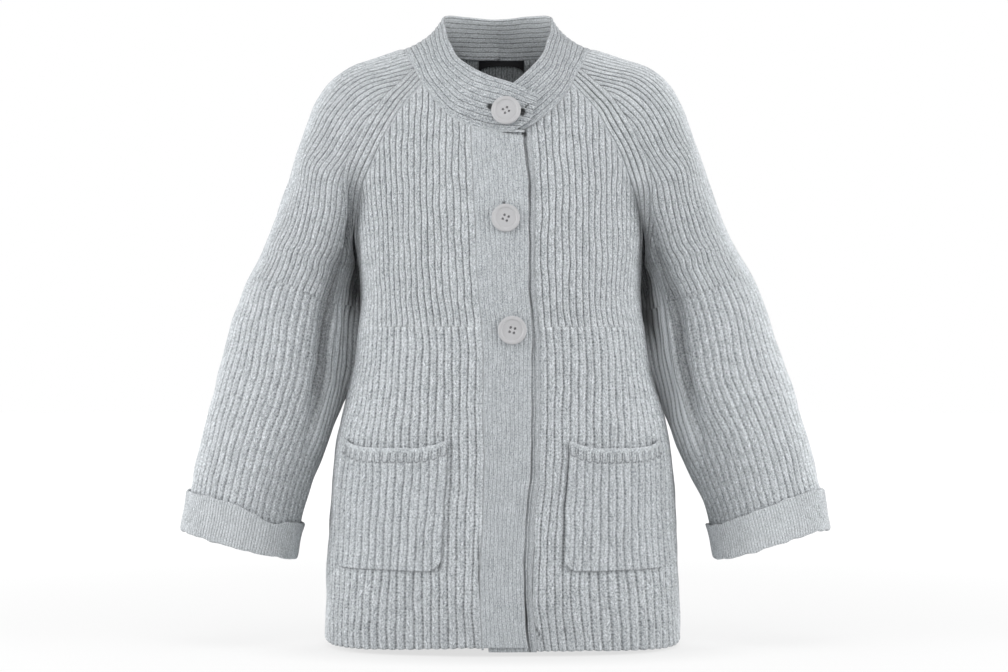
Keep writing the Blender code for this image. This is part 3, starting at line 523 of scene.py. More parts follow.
def fold_depth(folds, side, rib, place, round_trip=1e6):
    """How far the soft folds push the cloth out or in: a bell across each line that fades at its two ends.

    Ribs that are a round trip apart are the same one, so a fold runs on across a tube's seam."""
    total = np.zeros(np.broadcast(rib, place).shape)
    for sides, half_width, depth, line in folds:
        if side in sides:
            ribs, places = np.array(line, float).T
            along = (place - places[0]) / (places[-1] - places[0])
            off_line = rib - np.interp(place, places, ribs)
            off_line = off_line - round_trip * np.round(off_line / round_trip)
            fade = ramp(along, -0.05, 0.3) * until(along, 0.6, 1.05)
            total = total + depth * bell(off_line, half_width) * fade
    return total


def normals_of(surface, first, second, steps, centre):
    """Unit normals of a surface given by two numbers a point, on the side away from a centre line."""
    along_first = surface(first + steps[0], second) - surface(first - steps[0], second)
    along_second = surface(first, second + steps[1]) - surface(first, second - steps[1])
    normals = unit(np.cross(along_first, along_second))
    return normals * np.sign(np.sum(normals * (surface(first, second) - centre)))


def overlap_lift(x):
    """How far the right front is lifted off the body towards its band: a soft step across it."""
    return OVERLAP_LIFT * ramp(x, LIFT_START, LIFT_FULL)


def rib_spacing(face, height, edge, ribs):
    """Distance between two ribs: even over a quarter of the body up to the underarm, then a little less."""
    sheet = BODY_SHEETS[face]
    spacing = (sheet.length_at(np.minimum(height, UNDERARM)) - SEAM_GAP - edge) / ribs
    return spacing * (1 - CHEST_NARROWING * np.clip((height - UNDERARM) / -UNDERARM, 0, 1))


def band_edges(side, height):
    """Where a band starts and ends, from the wearer's right to left."""
    if side < 0:
        return column(BANDS, "right_seam", height), column(BANDS, "free_edge", height)
    seam = column(BANDS, "left_seam", height)
    return seam - LEFT_BAND_WIDTH, seam


def front_edge(side, height):
    """Where a front joins its band, as a distance from the middle."""
    return side * band_edges(side, height)[0 if side < 0 else 1] + SEAM_GAP


def neck_height(side, x):
    """The neckline's height in front, at an x that has the sign of its side until the middle."""
    return column(NECKLINE, WORD[side] + "_z", x * side)


def back_neck_height(x):
    """The neckline's height at the back, a parabola that rises a little to the raglan seams."""
    end = seam_point("back", 0.0)
    return end[2] - 4.0 * (1 - (x / end[0]) ** 2)


def distance_at(face, x, height):
    """How far round the body a point at this distance from the middle plane is."""
    sheet = BODY_SHEETS[face]
    shares = np.linspace(0, 1, 400)
    found = []
    for across, level in zip(x, height):
        run = shares * sheet.length_at(level)
        found.append(np.interp(across, sheet.at(level, run)[:, 0], run))
    return np.array(found)


def panel_tops(face, side, ribs):
    """The height at which each rib of a panel meets the neckline or a raglan seam."""
    raglan = seam_point(face, np.linspace(0, SLEEVE_UNDERARM, 60))
    neck_x = np.linspace(0, raglan[0, 0], 30)[:-1]
    if face == "front":
        neck_z, count = neck_height(side, neck_x * side), FRONT_RIBS
    else:
        neck_z, count = back_neck_height(neck_x), BACK_RIBS
    x = np.concatenate([neck_x, raglan[:, 0] - SEAM_GAP])
    z = np.concatenate([neck_z, raglan[:, 2]]) - SEAM_GAP
    edge = front_edge(side, z) if face == "front" else 0.0
    rib = (distance_at(face, x, z) - edge) / rib_spacing(face, z, edge, count)
    return np.interp(ribs, np.maximum.accumulate(rib), z)


def front_surface(side, ribs, heights):
    """Points of a front: even ribs are laid round the body from its band's edge, at each height."""
    edge = front_edge(side, heights)
    distance = edge + ribs * rib_spacing("front", heights, edge, FRONT_RIBS)
    points = BODY_SHEETS["front"].at(heights, distance)
    points[..., 0] *= side
    if side < 0:
        points[..., 1] -= overlap_lift(points[..., 0])
    return points


def front_cloth(side, ribs, heights):
    """Plain points and normals of a front, for grids of rib numbers and heights."""
    points = front_surface(side, ribs, heights)
    normals = normals_of(partial(front_surface, side), ribs, heights, (0.1, 1.0), points * UP)
    folds = fold_depth(FRONT_FOLDS, side, ribs, heights)
    return points + normals * folds[..., None], normals


def back_surface(ribs, heights):
    """Points of the back: even ribs are laid round the body both ways from its middle, at each height."""
    distance = np.abs(ribs) * rib_spacing("back", heights, 0.0, BACK_RIBS)
    points = BODY_SHEETS["back"].at(heights, distance)
    points[..., 0] *= np.sign(ribs)
    return points


def back_cloth(ribs, heights):
    """Plain points and normals of the back, with ribs counted from its middle."""
    points = back_surface(ribs, heights)
    normals = normals_of(back_surface, ribs, heights, (0.1, 1.0), points * UP)
    folds = fold_depth(BACK_FOLDS, 1, ribs, heights) + fold_depth(BACK_FOLDS, -1, -ribs, heights)
    return points + normals * folds[..., None], normals


def band_surface(side, share, heights):
    """Points of a band: straight across between its edges, on the body's front or lifted off it."""
    low, high = band_edges(side, heights)
    x = low + (high - low) * share
    y = body_y("front", x, heights) - (OVERLAP_LIFT if side < 0 else 0)
    return np.stack([x, y, heights + 0 * x], axis=-1)


def band_cloth(side, share, heights):
    """Plain points and normals of a button band, by the share of its width and the height."""
    points = band_surface(side, share, heights)
    return points, normals_of(partial(band_surface, side), share, heights, (0.02, 1.0), points * UP)


def corner_cut(radius, from_edge):
    """How much a rounded corner takes off, at a distance from the side edge: a quarter circle."""
    return radius - np.sqrt(radius**2 - np.clip(radius - from_edge, 0, radius) ** 2)


def placed_sleeve(side, points, down):
    """Left sleeve points as they are for one side: mirrored, or swung out a little."""
    points = np.array(points)
    sway = LEFT_ARM_SWAY * ramp(down, SLEEVE_UNDERARM, SLEEVE_LENGTH) if side > 0 else 0.0
    points[..., 0] = side * points[..., 0] + sway
    return points


def sleeve_surface(side, ribs, down):
    """Ribs are even near the outer line, and take up what is left of each section towards its seams."""
    count, rib = sleeve_column("ribs", down), np.abs(ribs)
    even = until(rib / count, 0.5, 0.9)
    pitch = column(ARM_PITCH, "pitch", down)
    halves = []
    for face in ("front", "back"):
        spread = rib / count * SLEEVE_SHEETS[face].length_at(down)
        halves.append(SLEEVE_SHEETS[face].at(down, spread + (rib * pitch - spread) * even))
    return placed_sleeve(side, np.where((ribs >= 0)[..., None], *halves), down)


def sleeve_middle(side, down):
    """The line half way between a sleeve's outer line and its seams."""
    seams = (seam_point("front", down) + seam_point("back", down)) / 2
    return placed_sleeve(side, (seams + outer_line(down)) / 2, down)


def sleeve_cloth(side, ribs, down):
    """Plain points and normals of a sleeve. Ribs are counted from its outer line, front ones positive."""
    points = sleeve_surface(side, ribs, down)
    surface = partial(sleeve_surface, side)
    normals = normals_of(surface, ribs, down, (0.1, 1.0), sleeve_middle(side, down))
    folds = fold_depth(SLEEVE_FOLDS, side, ribs, down, 2 * ARM_RIBS)
    return points + normals * folds[..., None], normals


def sleeve_starts(ribs):
    """How far down the outer line each rib starts: at the collar, or where the raglan seam lets it in."""
    down = np.linspace(0, SLEEVE_DOWN[UNDERARM_ROW + 2], 240)
    reached = sleeve_column("ribs", down) * (1 - SEAM_GAP / SLEEVE_SHEETS["front"].length_at(down))
    reached = np.maximum.accumulate(reached)
    reached[-1] = ARM_RIBS
    return np.maximum(np.interp(np.abs(ribs), reached, down), SEAM_GAP)


@lru_cache
def collar_seam(side):
    """The neck seam of one side as a polyline, from the middle of the back past the middle front."""
    x = np.linspace(0, seam_point("back", 0.0)[0], 25)
    z = back_neck_height(x)
    back = np.stack([x, body_y("back", x, z), z], axis=-1)
    shares = np.linspace(0, 1, 30)
    over = [SLEEVE_SHEETS[f].at(0.0, shares * SLEEVE_SHEETS[f].length[0]) for f in ("back", "front")]
    across = np.linspace(seam_point("front", 0.0)[0], -NECK_PAST_MIDDLE, NECK_FRONT_POINTS)
    z = neck_height(side, across * side)
    front = np.stack([across, body_y("front", across, z), z], axis=-1)
    seam = np.concatenate([back, over[0][::-1][1:], over[1][1:], front[1:]])
    seam[:, 0] *= side
    if side < 0:
        seam[:, 1] -= overlap_lift(seam[:, 0])
    return seam


def half_collar(side, share, up):
    """Points of half of the collar: share along its seam (1 is the middle front), and up from 0 to 1.

    Each is on the straight line from the seam to the top edge, and bowed off it by a parabola."""
    seam = collar_seam(side)
    run = running_length(seam)
    tail = NECK_FRONT_POINTS - 1
    middle_front = len(seam) - tail + np.argmin(np.abs(seam[-tail:, 0]))
    distance = share * run[middle_front]
    base = np.stack([np.interp(distance, run, seam[:, i]) for i in range(3)], axis=-1)
    top = np.stack([column(COLLAR_TOP, WORD[side] + "_" + axis, share) for axis in "xyz"], axis=-1)
    if side < 0:
        base[..., 2] += COLLAR_END_RISE * ramp(share, 0.98, COLLAR_RIGHT_END)
    points = base + (top - base) * up[..., None]
    away = unit(np.stack([points[..., 0], points[..., 1] - NECK_Y, 45 + 0 * share], axis=-1))
    return points + away * (column(COLLAR_TOP, "bow", share) * 4 * up * (1 - up))[..., None]


def collar_surface(share, up):
    """The whole collar: right shares are below 0, left ones above."""
    right, left = (half_collar(side, np.abs(share), up) for side in BOTH)
    return np.where((share < 0)[..., None], right, left)


def collar_cloth(share, up):
    """Plain points and normals of the collar."""
    points = collar_surface(share, up)
    centre = points * UP + np.array([0, NECK_Y, 0])
    return points, normals_of(collar_surface, share, up, (0.01, 0.02), centre)


def button_places():
    """Each button's seat, outward direction, turn and size: the top one is on the collar's lap."""
    places = []
    for height, across, turn, size in zip(*BUTTONS.values()):
        if height > neck_height(-1, 0.0):
            shares, up = np.meshgrid(-np.linspace(0.97, 1.09, 25), np.linspace(0, 1, 41))
            points, normals = collar_cloth(shares, up)
            nearest = np.hypot(points[..., 0] - across, points[..., 2] - height).argmin()
            seat, out = points.reshape(-1, 3)[nearest], normals.reshape(-1, 3)[nearest]
        else:
            low, high = band_edges(-1, height)
            share = np.array([(across - low) / (high - low)])
            seat, out = (found[0] for found in band_cloth(-1, share, np.array([height])))
        places.append((seat + out * (BUTTON_SEAT + LAYER_GAP + BUTTON_STAND), out, turn, size))
    return places


# ---- Knitted meshes ---------------------------------------------------------------------------------------

COLUMNS = 8  # grid columns across one rib
POCKET_COLUMNS = 12
CUFF_COLUMNS = 4
INNER_STEP = 4  # the inside keeps every fourth column
STITCH = 4.0  # height of a stitch of the chunky rib
FINE_STITCH = 3.3
LADDER_HEIGHT = -294.0  # the rib opens into its looser stitch below this height
LADDER_DOWN = SLEEVE_DOWN[UNDERARM_ROW + 2]  # and on a sleeve below this distance down its outer line
CHANGE_GAP = 0.2  # the rows on both sides of a stitch change stand this far from it
UPPER_ARM_SHARE = 5 / 4  # ribs above a sleeve's stitch change for each one below it
EDGE_RIBS = 4  # ribs that run along a raglan seam on the sleeve's side
HEM_ROWS = (0.0, 0.35, 1.0, 2.0, 3.2)  # heights of the close rows that round a hem
LEAST_FULL = 0.06  # the square of the share of its thickness with which a rounded edge ends
HEM_ROUND = 2.4  # radii of rounded edges
BAND_HEM_ROUND = 2.0
FREE_EDGE_ROUND = 1.8
POCKET_ROUND = 2.6
FINE_POWER = 0.8  # the power of the sine in fine ribs and in the ribs inside
HEM_RAISED = {-1: (1.6, 2.4), 1: (0.4, 0.0)}  # how much a front ends above HEM, and more by its band
BAND_HEM_DROP = {-1: -3.6, 1: 1.2}  # how much lower than HEM a band ends

# Rows of the panels between the hem, the stitch change and the top.
FRONT_ROWS = (76, 66)
BACK_ROWS = (62, 52)
BAND_ROWS = (86, 76)
SLEEVE_ROWS = (80, 72)  # above and below its stitch change

# Slow waves through the whole garment, in millimetres: wave vector, direction of the push, phase.
WAVES = (
    ((0.021, 0.013, 0.034), (0.3, 0.7, 0.1), 0.4),
    ((-0.034, 0.022, 0.017), (0.5, -0.4, 0.1), 1.9),
    ((0.055, -0.030, 0.021), (0.3, 0.4, -0.1), 3.1),
    ((0.012, 0.047, -0.052), (0.4, 0.3, 0.2), 5.2),
    ((-0.070, 0.051, 0.063), (0.2, -0.25, 0.1), 2.6),
    ((0.098, 0.083, -0.044), (0.12, 0.16, 0.05), 0.9),
    ((0.150, 0.062, 0.081), (0.32, 0.05, 0.1), 4.1),
    ((-0.190, 0.110, 0.052), (0.28, 0.05, -0.1), 1.2),
    ((0.060, 0.140, 0.170), (0.22, 0.1, 0.1), 2.2),
)


def settle(points):
    """Leans the points, then adds a sum of sines of their place, so that nothing hangs quite straight."""
    points = lean(points)
    push = np.zeros_like(points)
    for wave, direction, phase in WAVES:
        push += np.sin(points @ np.array(wave) + phase)[..., None] * np.array(direction)
    return points + push


def rib_profile(ribs, power):
    """Height of the rib pattern, 0 in a valley and 1 on a crest: the sine of the rib number, to a power."""
    return np.abs(np.sin(np.pi * ribs)) ** power


def valley_profile(ribs, power):
    """1 in a valley and 0 on a crest."""
    return 1 - rib_profile(ribs, power)


def into_seam(distance):
    """The share of its height that a rib has at a distance from the seam at its top."""
    return ramp(distance, -1.5, 3.5)


def above_change(heights):
    """1 above the body's stitch change and 0 below it, blended over a few millimetres."""
    return ramp(heights, LADDER_HEIGHT - 3, LADDER_HEIGHT + 3)


def chunky_relief(ribs, ladder, cloth):
    """The chunky rib: a broad crest above the stitch change, and a rounder one where ladder is 1."""
    power = 0.55 + 0.3 * ladder
    return -0.4 + (cloth.rib_height / MM + 0.4) * rib_profile(ribs, power)


def rounded(distance, radius):
    """How full the cloth is at a distance from its free edge: a quarter circle over the radius."""
    s = np.clip(distance / radius, 0.0, 1.0)
    return np.sqrt(np.maximum(1 - (1 - s) ** 2, LEAST_FULL))


def grid_quads(index):
    """The faces of a grid of point numbers."""
    return np.stack([index[:-1, :-1], index[:-1, 1:], index[1:, 1:], index[1:, :-1]], axis=-1).reshape(-1, 4)


def closed_ring(index):
    """A grid of point numbers whose last column is its first one again."""
    return np.concatenate([index, index[:, :1]], axis=1)


def fan(outer, inner, turned):
    """Triangles between an edge of the outer grid and that of the inner one, INNER_STEP times coarser."""
    half = INNER_STEP // 2
    start = np.arange(len(inner) - 1) * INNER_STEP
    made = []
    for k in range(INNER_STEP):
        corner = inner[:-1] if k < half else inner[1:]
        made.append(np.stack([outer[start + k], outer[start + k + 1], corner], axis=-1))
    made.append(np.stack([outer[start + half], inner[1:], inner[:-1]], axis=-1))
    faces = np.concatenate(made)
    return faces[:, ::-1] if turned else faces


def new_piece(name, points, groups, uv=None, attributes=(), finish=None):
    """An object from points in millimetres and arrays of faces, each array of one size of face.

    uv gives one pair for each point, or a function from corners and their faces to pairs."""
    mesh = bpy.data.meshes.new(name)
    groups = [np.asarray(g, np.int32) for g in groups if len(g)]
    corners = np.concatenate([g.ravel() for g in groups])
    sizes = np.concatenate([np.full(len(g), g.shape[1]) for g in groups])
    mesh.vertices.add(len(points))
    mesh.vertices.foreach_set("co", (np.asarray(points) * MM).astype(np.float32).ravel())
    mesh.loops.add(len(corners))
    mesh.loops.foreach_set("vertex_index", corners)
    mesh.polygons.add(len(sizes))
    mesh.polygons.foreach_set("loop_start", np.concatenate([[0], np.cumsum(sizes)[:-1]]).astype(np.int32))
    mesh.polygons.foreach_set("use_smooth", np.ones(len(sizes), bool))
    if uv is not None:
        layer = mesh.uv_layers.new(name="knit")
        face_of_corner = np.repeat(np.arange(len(sizes)), sizes)
        pairs = uv(corners, face_of_corner) if callable(uv) else np.asarray(uv)[corners]
        layer.uv.foreach_set("vector", pairs.astype(np.float32).ravel())
    for key, values in attributes:
        attribute = mesh.attributes.new(key, "FLOAT", "POINT")
        attribute.data.foreach_set("value", np.asarray(values, np.float32).ravel())
    mesh.update(calc_edges=True)
    mesh.validate()
    if finish:
        mesh.materials.append(finish)
    made = bpy.data.objects.new(name, mesh)
    bpy.context.scene.collection.objects.link(made)
    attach(made, "root")
    return made


def wall_faces(outer, inner):
    """Quads and rims of a closed wall, from the point numbers of its outer grid and its coarser inner one."""
    side = np.stack([outer[:, 0], inner[:, 0]], axis=1)
    far = np.stack([outer[:, -1], inner[:, -1]], axis=1)
    quads = np.concatenate([
        grid_quads(outer), grid_quads(inner)[:, ::-1], grid_quads(side)[:, ::-1], grid_quads(far),
    ])
    return quads, np.concatenate([fan(outer[0], inner[0], True), fan(outer[-1], inner[-1], False)])


def uv_beside_seam(uv, beside):
    """Pairs for each corner: a face that is mostly beside a seam takes the rib numbers that run along it."""
    mask, seam_ribs = beside
    near = np.zeros(len(uv))
    near[:mask.size] = mask.ravel()
    along = uv.copy()
    along[:mask.size, 0] = seam_ribs.ravel()

    def pairs(corners, faces):
        """Pairs by the share of each face's corners that are beside the seam."""
        share = np.bincount(faces, near[corners]) / np.bincount(faces)
        return np.where((share[faces] > 0.4)[:, None], along[corners], uv[corners])

    return pairs


def knit_wall(name, plain, normals, ribs, rows, relief, finish, thickness, full=1.0, inner_relief=0.6,
              beside=None, pale=0.0, inner_pale=0.0, **marks):
    """Cloth between two grids: plain + normals * relief outside, plain - normals * thickness inside.

    Where full is below 1 both come nearer to the middle of the cloth, which rounds a free edge. The inside
    has its own ribs, with crests where the outside has valleys. beside is a mask of the points whose ribs
    run along a seam instead, and their own rib numbers. pale and inner_pale raise the share of light wool
    in the marl, which is mostly painted light; inside it falls mostly on the crests. marks are the
    material's masks: ladder where the valleys are open and dotted, the shade mask where shade is painted
    into cuts, creases, valleys and recesses, flat where it has no ribs."""
    shape = plain.shape[:2]
    ribs, rows, relief, full = (np.broadcast_to(a, shape) for a in (ribs, rows, relief, full))
    inner_offset = -thickness + inner_relief * rib_profile(ribs, FINE_POWER)
    middle = (relief + inner_offset) / 2
    outer = settle(plain + normals * (middle + (relief - middle) * full)[..., None])
    inner = settle(plain + normals * (middle + (inner_offset - middle) * full)[..., None])[:, ::INNER_STEP]
    out_index = np.arange(ribs.size).reshape(shape)
    in_index = out_index.size + np.arange(inner[..., 0].size).reshape(inner.shape[:2])
    faces = wall_faces(out_index, in_index)
    r, c = shape[0] // 2, shape[1] // 2
    across, up = plain[r, c + 1] - plain[r, c - 1], plain[r + 1, c] - plain[r - 1, c]
    if np.dot(np.cross(across, up), normals[r, c]) < 0:
        faces = [group[:, ::-1] for group in faces]
    coarse = (slice(None), slice(None, None, INNER_STEP))
    inner_ribs = ribs[coarse] + 0.5
    uv = np.concatenate([
        np.stack([ribs, rows], axis=-1).reshape(-1, 2),
        np.stack([inner_ribs, rows[coarse]], axis=-1).reshape(-1, 2),
    ])
    # Painted light inside the cloth: lighter wool, most of it on the inner crests.
    painted_light_inside = inner_pale * (0.5 + 0.75 * rib_profile(inner_ribs, 1.0))
    attributes = [("pale", np.concatenate([np.broadcast_to(pale, shape).ravel(), painted_light_inside.ravel()]))]
    for key, value in marks.items():
        value = np.broadcast_to(value, shape)
        attributes.append((key, np.concatenate([value.ravel(), value[coarse].ravel()])))
    points = np.concatenate([outer.reshape(-1, 3), inner.reshape(-1, 3)])
    pairs = uv if beside is None else uv_beside_seam(uv, beside)
    return new_piece(name, points, faces, pairs, attributes, finish)


def as_cloth(piece, node):
    """Hides the frame's part of this node, which the piece stands for, and gives the piece back."""
    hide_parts(node)
    return piece


def panel_heights(tops, to_side, counts, drop=0.0):
    """Heights of a panel's rows: close together at the hem, then even below and above the stitch change."""
    sideways = HEM_SIDE_RISE * ramp(to_side, 0.75, 1.2)
    hem = HEM - HEM_SIDE_DROP * ramp(to_side, 0.2, 0.8) + sideways - drop
    edge = np.array(HEM_ROWS)[:, None]
    start = edge[-1] + 2.0
    low, high = (np.linspace(0, 1, count)[:, None] for count in counts)
    below, above = LADDER_HEIGHT - CHANGE_GAP, LADDER_HEIGHT + CHANGE_GAP
    lower_rows = hem + start + (below - hem - start) * low
    return np.concatenate([hem + edge, lower_rows, above + (tops - above) * high])


def slits(points, places):
    """A mask that is 1 on the middle line of each lens-shaped slit and 0 outside them all."""
    total = np.zeros(points.shape[:-1])
    for x, z, half_length, half_width, angle in places:
        turn = math.radians(angle)
        across, up = points[..., 0] - x, points[..., 2] - z
        along = (across * math.cos(turn) + up * math.sin(turn)) / half_length
        aside = (up * math.cos(turn) - across * math.sin(turn)) / half_width
        total = np.maximum(total, ramp(1 - along**2 - aside**2, 0.0, 0.7))
    return total


# ---- The pieces -------------------------------------------------------------------------------------------


def front_painted_shading(side, share, grid, heights, tops):
    """Painted shade and painted light of a front: shade by the armpit, towards the hem, beside the side seam
    and in the valleys above the stitch change; light by the side near the hem and by the raglan seam.
    """
    low, high = (-262, -195) if side < 0 else (-294, -228)
    armpit = ramp(heights, low - 20, low + 12) * until(heights, high - 10, high + 30)
    armpit = armpit * ramp(share, 0.90, 0.99)
    by_hem, by_side = until(heights, -610, -550), ramp(share, 0.72, 0.92)
    dark = 0.09 * by_hem * (1 - by_side) + 0.25 * by_hem * by_side * valley_profile(grid, 0.9)
    dark = dark + 0.08 * by_side * (1 - by_hem) * until(heights, -300, -220)
    dark = dark + 0.15 * (heights > LADDER_HEIGHT) * valley_profile(grid, 0.8)
    by_raglan = until(tops - heights, 0, 16) * ramp(share, 0.6, 0.8) * ramp(heights, -205, -175)
    return 0.75 * armpit + dark, 0.4 * by_side * by_hem + 0.12 * by_raglan


def add_front(side, node, finish, cloth):
    """A front by its own ribs, spread over the even ones. A raised line marks the stitch change."""
    word = WORD[side]
    count, upper_count = FRONT_KNIT[word]
    ribs = np.linspace(0, count, COLUMNS * count + 1)
    share = ribs / count
    tops = panel_tops("front", side, share * FRONT_RIBS)
    raised, by_band = HEM_RAISED[side]
    raised = raised + by_band * until(share, 0.0, 0.45)
    heights = panel_heights(tops, share, FRONT_ROWS, RIB_END * rib_profile(ribs, 0.7) - raised)
    grid = ribs[None, :] * np.where(heights > LADDER_HEIGHT, upper_count / count, 1.0)
    spread = column(RIB_SPREAD, word, heights)
    plain, normals = front_cloth(side, FRONT_RIBS * share * (1 + spread * (1 - share)), heights)
    ladder = 1 - 0.65 * above_change(heights)
    crease = slits(plain, FRONT_SLITS[side])
    change = bell(heights - LADDER_HEIGHT, 2.4)
    relief = chunky_relief(grid, ladder, cloth) * into_seam(tops - heights) - crease + 0.35 * change
    # dark is the front's painted shade and light its painted light; the crease slits are painted dark as
    # shade as well.
    dark, light = front_painted_shading(side, share, grid, heights, tops)
    piece = knit_wall(
        node + "_knit", plain, normals, grid, (heights - HEM) / STITCH, relief, finish, WALL,
        rounded(heights - heights[0], HEM_ROUND), pale=0.22 * change + light, ladder=ladder,
        gap=np.clip(0.7 * crease + dark, 0, 0.9),
    )
    return as_cloth(piece, node)


def add_back(node, finish, cloth):
    """The back, whose ribs follow the even ones above the stitch change and are fewer and wider below it."""
    ribs = np.linspace(-BACK_RIBS, BACK_RIBS, COLUMNS * 2 * BACK_RIBS + 1)
    tops = panel_tops("back", 1, np.abs(ribs))
    low_ribs = ribs * BACK_KNIT / BACK_RIBS
    heights = panel_heights(tops, np.abs(ribs) / BACK_RIBS, BACK_ROWS, RIB_END * rib_profile(low_ribs, 0.7))
    grid = np.where(heights > LADDER_HEIGHT, ribs, low_ribs)
    plain, normals = back_cloth(ribs[None, :] + 0 * heights, heights)
    ladder = 1 - above_change(heights)
    relief = chunky_relief(grid, ladder, cloth) * into_seam(tops - heights)
    piece = knit_wall(
        node + "_knit", plain, normals, grid, (heights - HEM) / STITCH, relief, finish, WALL,
        rounded(heights - heights[0], HEM_ROUND), ladder=ladder,
    )
    return as_cloth(piece, node)


def cuff_wave(side, ribs, above_fold):
    """How much further down a point of the cuff lies, by its rib and its distance above the fold.

    The table's waves at the fold and at the lip are blended in between, and two small sines run round it."""
    fold, lip = (column(CUFF_WAVES, WORD[side] + end, np.abs(ribs)) for end in ("_fold", "_lip"))
    turn = ribs / ARM_RIBS * math.pi
    small = 0.5 * np.sin(13 * turn + side) + 0.35 * np.sin(22 * turn + 2)
    return fold + (lip - fold) * np.clip(above_fold / CUFF_HEIGHT, 0, 1) + small


def sleeve_painted_shading(side, grid, down, from_seam, beside, valley):
    """Painted shade and painted light of a sleeve, each a sum of soft patches along its ribs and down it:
    shade by the armpit, along the crease, on the inner side and in the valleys; light on the shoulder, along
    the outer line, low on the arm, by the seams and on the inner side below the armpit.
    """
    left = side > 0
    rib = np.abs(grid)
    hidden = np.where(grid > 0, 22.4, 20.5)
    lower = 34.0 if left else 0.0
    armpit = ramp(rib - hidden, -1.2, 0.8) * ramp(down - lower, 215, 255) * until(down - lower, 295, 350)
    past = grid - np.interp(down, *ARM_CREASE)
    crease = bell(past - 0.7, 0.85) * ramp(down, 175, 260) * until(down, 400, 500)
    inner = ramp(past, 1.2, 2.5) * ramp(down, 215, 285) * until(down, 440, 540) * valley
    lines = valley * ((0.28 if left else 0.0) * until(down, 200, 290) + 0.25 * until(down, 60, 130))
    lines = lines + 0.22 * valley_profile(from_seam, 0.9) * beside * until(down, 170, 215)
    creased, lined, light = (0.36, 0.56, 1.3) if left else (0.55, 0.62, 0.8)
    pale = 0.05 * ramp(down, 370, 470) + (0.3 if left else 0.15) * until(rib, 3, 8)
    pale = pale + (0.18 if left else 0.05) * until(down, 70, 150)
    pale = pale + 0.15 * until(from_seam, 0.5, 4.0) * ramp(down, 110, 160) * until(down, 190, 235)
    pale = pale + light * ramp(rib, 17.5, 19.5) * ramp(down, 270, 330) * until(down, 430, 520)
    if left:
        pale = pale + 0.6 * until(from_seam, 2, 6) * ramp(down, 150, 185) * until(down, 228, 252)
    return 0.85 * armpit + creased * crease + lined * inner + lines, pale


def add_sleeve(side, node, finish, cloth):
    """Finer ribs above the stitch change, a few of them along the raglan seams, and wider ribs below it."""
    edge_rib = ARM_RIBS - 0.04
    ribs = np.linspace(-edge_rib, edge_rib, COLUMNS * 2 * ARM_RIBS + 1)
    starts = sleeve_starts(ribs)
    change = np.maximum(LADDER_DOWN + 2.5 * np.sin(ribs * 0.55 + side), starts + 1.0)
    end = SLEEVE_LENGTH - SLEEVE_END + cuff_wave(side, ribs, SLEEVE_END)
    high, low = (np.linspace(0, 1, count)[:, None] for count in SLEEVE_ROWS)
    down = np.concatenate([
        starts + (change - CHANGE_GAP - starts) * high,
        change + CHANGE_GAP + (end - change - CHANGE_GAP) * low,
    ])
    grid = ribs[None, :] + 0 * down
    plain, normals = sleeve_cloth(side, grid, down)
    upper = down < change
    own = grid * np.where(upper, UPPER_ARM_SHARE, 1.0)
    from_seam = (sleeve_column("ribs", down) - np.abs(grid)) * UPPER_ARM_SHARE
    beside = (down < SLEEVE_UNDERARM) & (from_seam < EDGE_RIBS)
    meet = np.where(down < SLEEVE_UNDERARM, ramp(from_seam - EDGE_RIBS, 0.0, 0.5), 1.0)
    ladder = np.where(upper, 0.4 * ramp(np.abs(grid), 4, 7) * until(np.abs(grid), 12, 15), 1.0)
    relief = np.where(beside, chunky_relief(from_seam, 0.0, cloth), chunky_relief(own, ladder, cloth) * meet)
    relief = relief * ramp(down - starts, -1.5, 3.0)
    valley = valley_profile(np.where(beside, from_seam, own), 0.9)
    # dark is the sleeve's painted shade and pale its painted light.
    dark, pale = sleeve_painted_shading(side, grid, down, from_seam, beside, valley)
    piece = knit_wall(
        node + "_knit", plain, normals, own, -down / STITCH, relief, finish, WALL, beside=(beside, from_seam),
        pale=pale, ladder=ladder, flat=0.16 * (1.0 - upper), gap=np.clip(dark, 0, 0.9),
    )
    return as_cloth(piece, node)


def cuff_profile():
    """The turned-up cuff's section as distance above its fold and out from the sleeve, going round it once.

    Up from the fold: the outside, the free lip, down its inner side, the inner turn, and the seam inside.
    The fold and the lip are half circles. The third value is how much of the fine rib shows there."""
    inside, outside = -WALL, CUFF_FOLD - WALL
    layer = RIB_RELIEF + LAYER_GAP + 0.2
    radius = CUFF_FOLD / 2
    top = SLEEVE_END - SEAM_GAP
    turn = np.radians(np.linspace(180, 0, 11))
    fold = [radius - radius * np.sin(turn), radius - WALL + radius * np.cos(turn), 0 * turn + 0.9]
    rise = np.linspace(5, CUFF_HEIGHT - 1, 12)
    flare = 0.5 * rise / CUFF_HEIGHT + 0.5 * ramp(rise, CUFF_HEIGHT - 10, CUFF_HEIGHT)
    wall = [rise, outside + flare, 0 * rise + 1.0]
    turn = np.radians(np.linspace(0, 180, 7)[1:])
    lip_in = layer + 0.4
    half = (wall[1][-1] - lip_in) / 2
    lip = [rise[-1] + half * np.sin(turn), lip_in + half + half * np.cos(turn), 0.6 + 0 * turn]
    fall = np.linspace(CUFF_HEIGHT - 8, 6, 4)
    back = [fall, layer + 0.3 * fall / CUFF_HEIGHT, 0 * fall]
    inner_turn = np.array([(4.5, layer, 0), (3.5, layer / 2, 0), (4.5, 0.1, 0), (top, 0.1, 0)])
    seam = np.array([(top, inside, 0), (9, inside, 0.6)])
    return np.concatenate([*(np.stack(part, axis=1) for part in (fold, wall, lip, back)), inner_turn, seam])


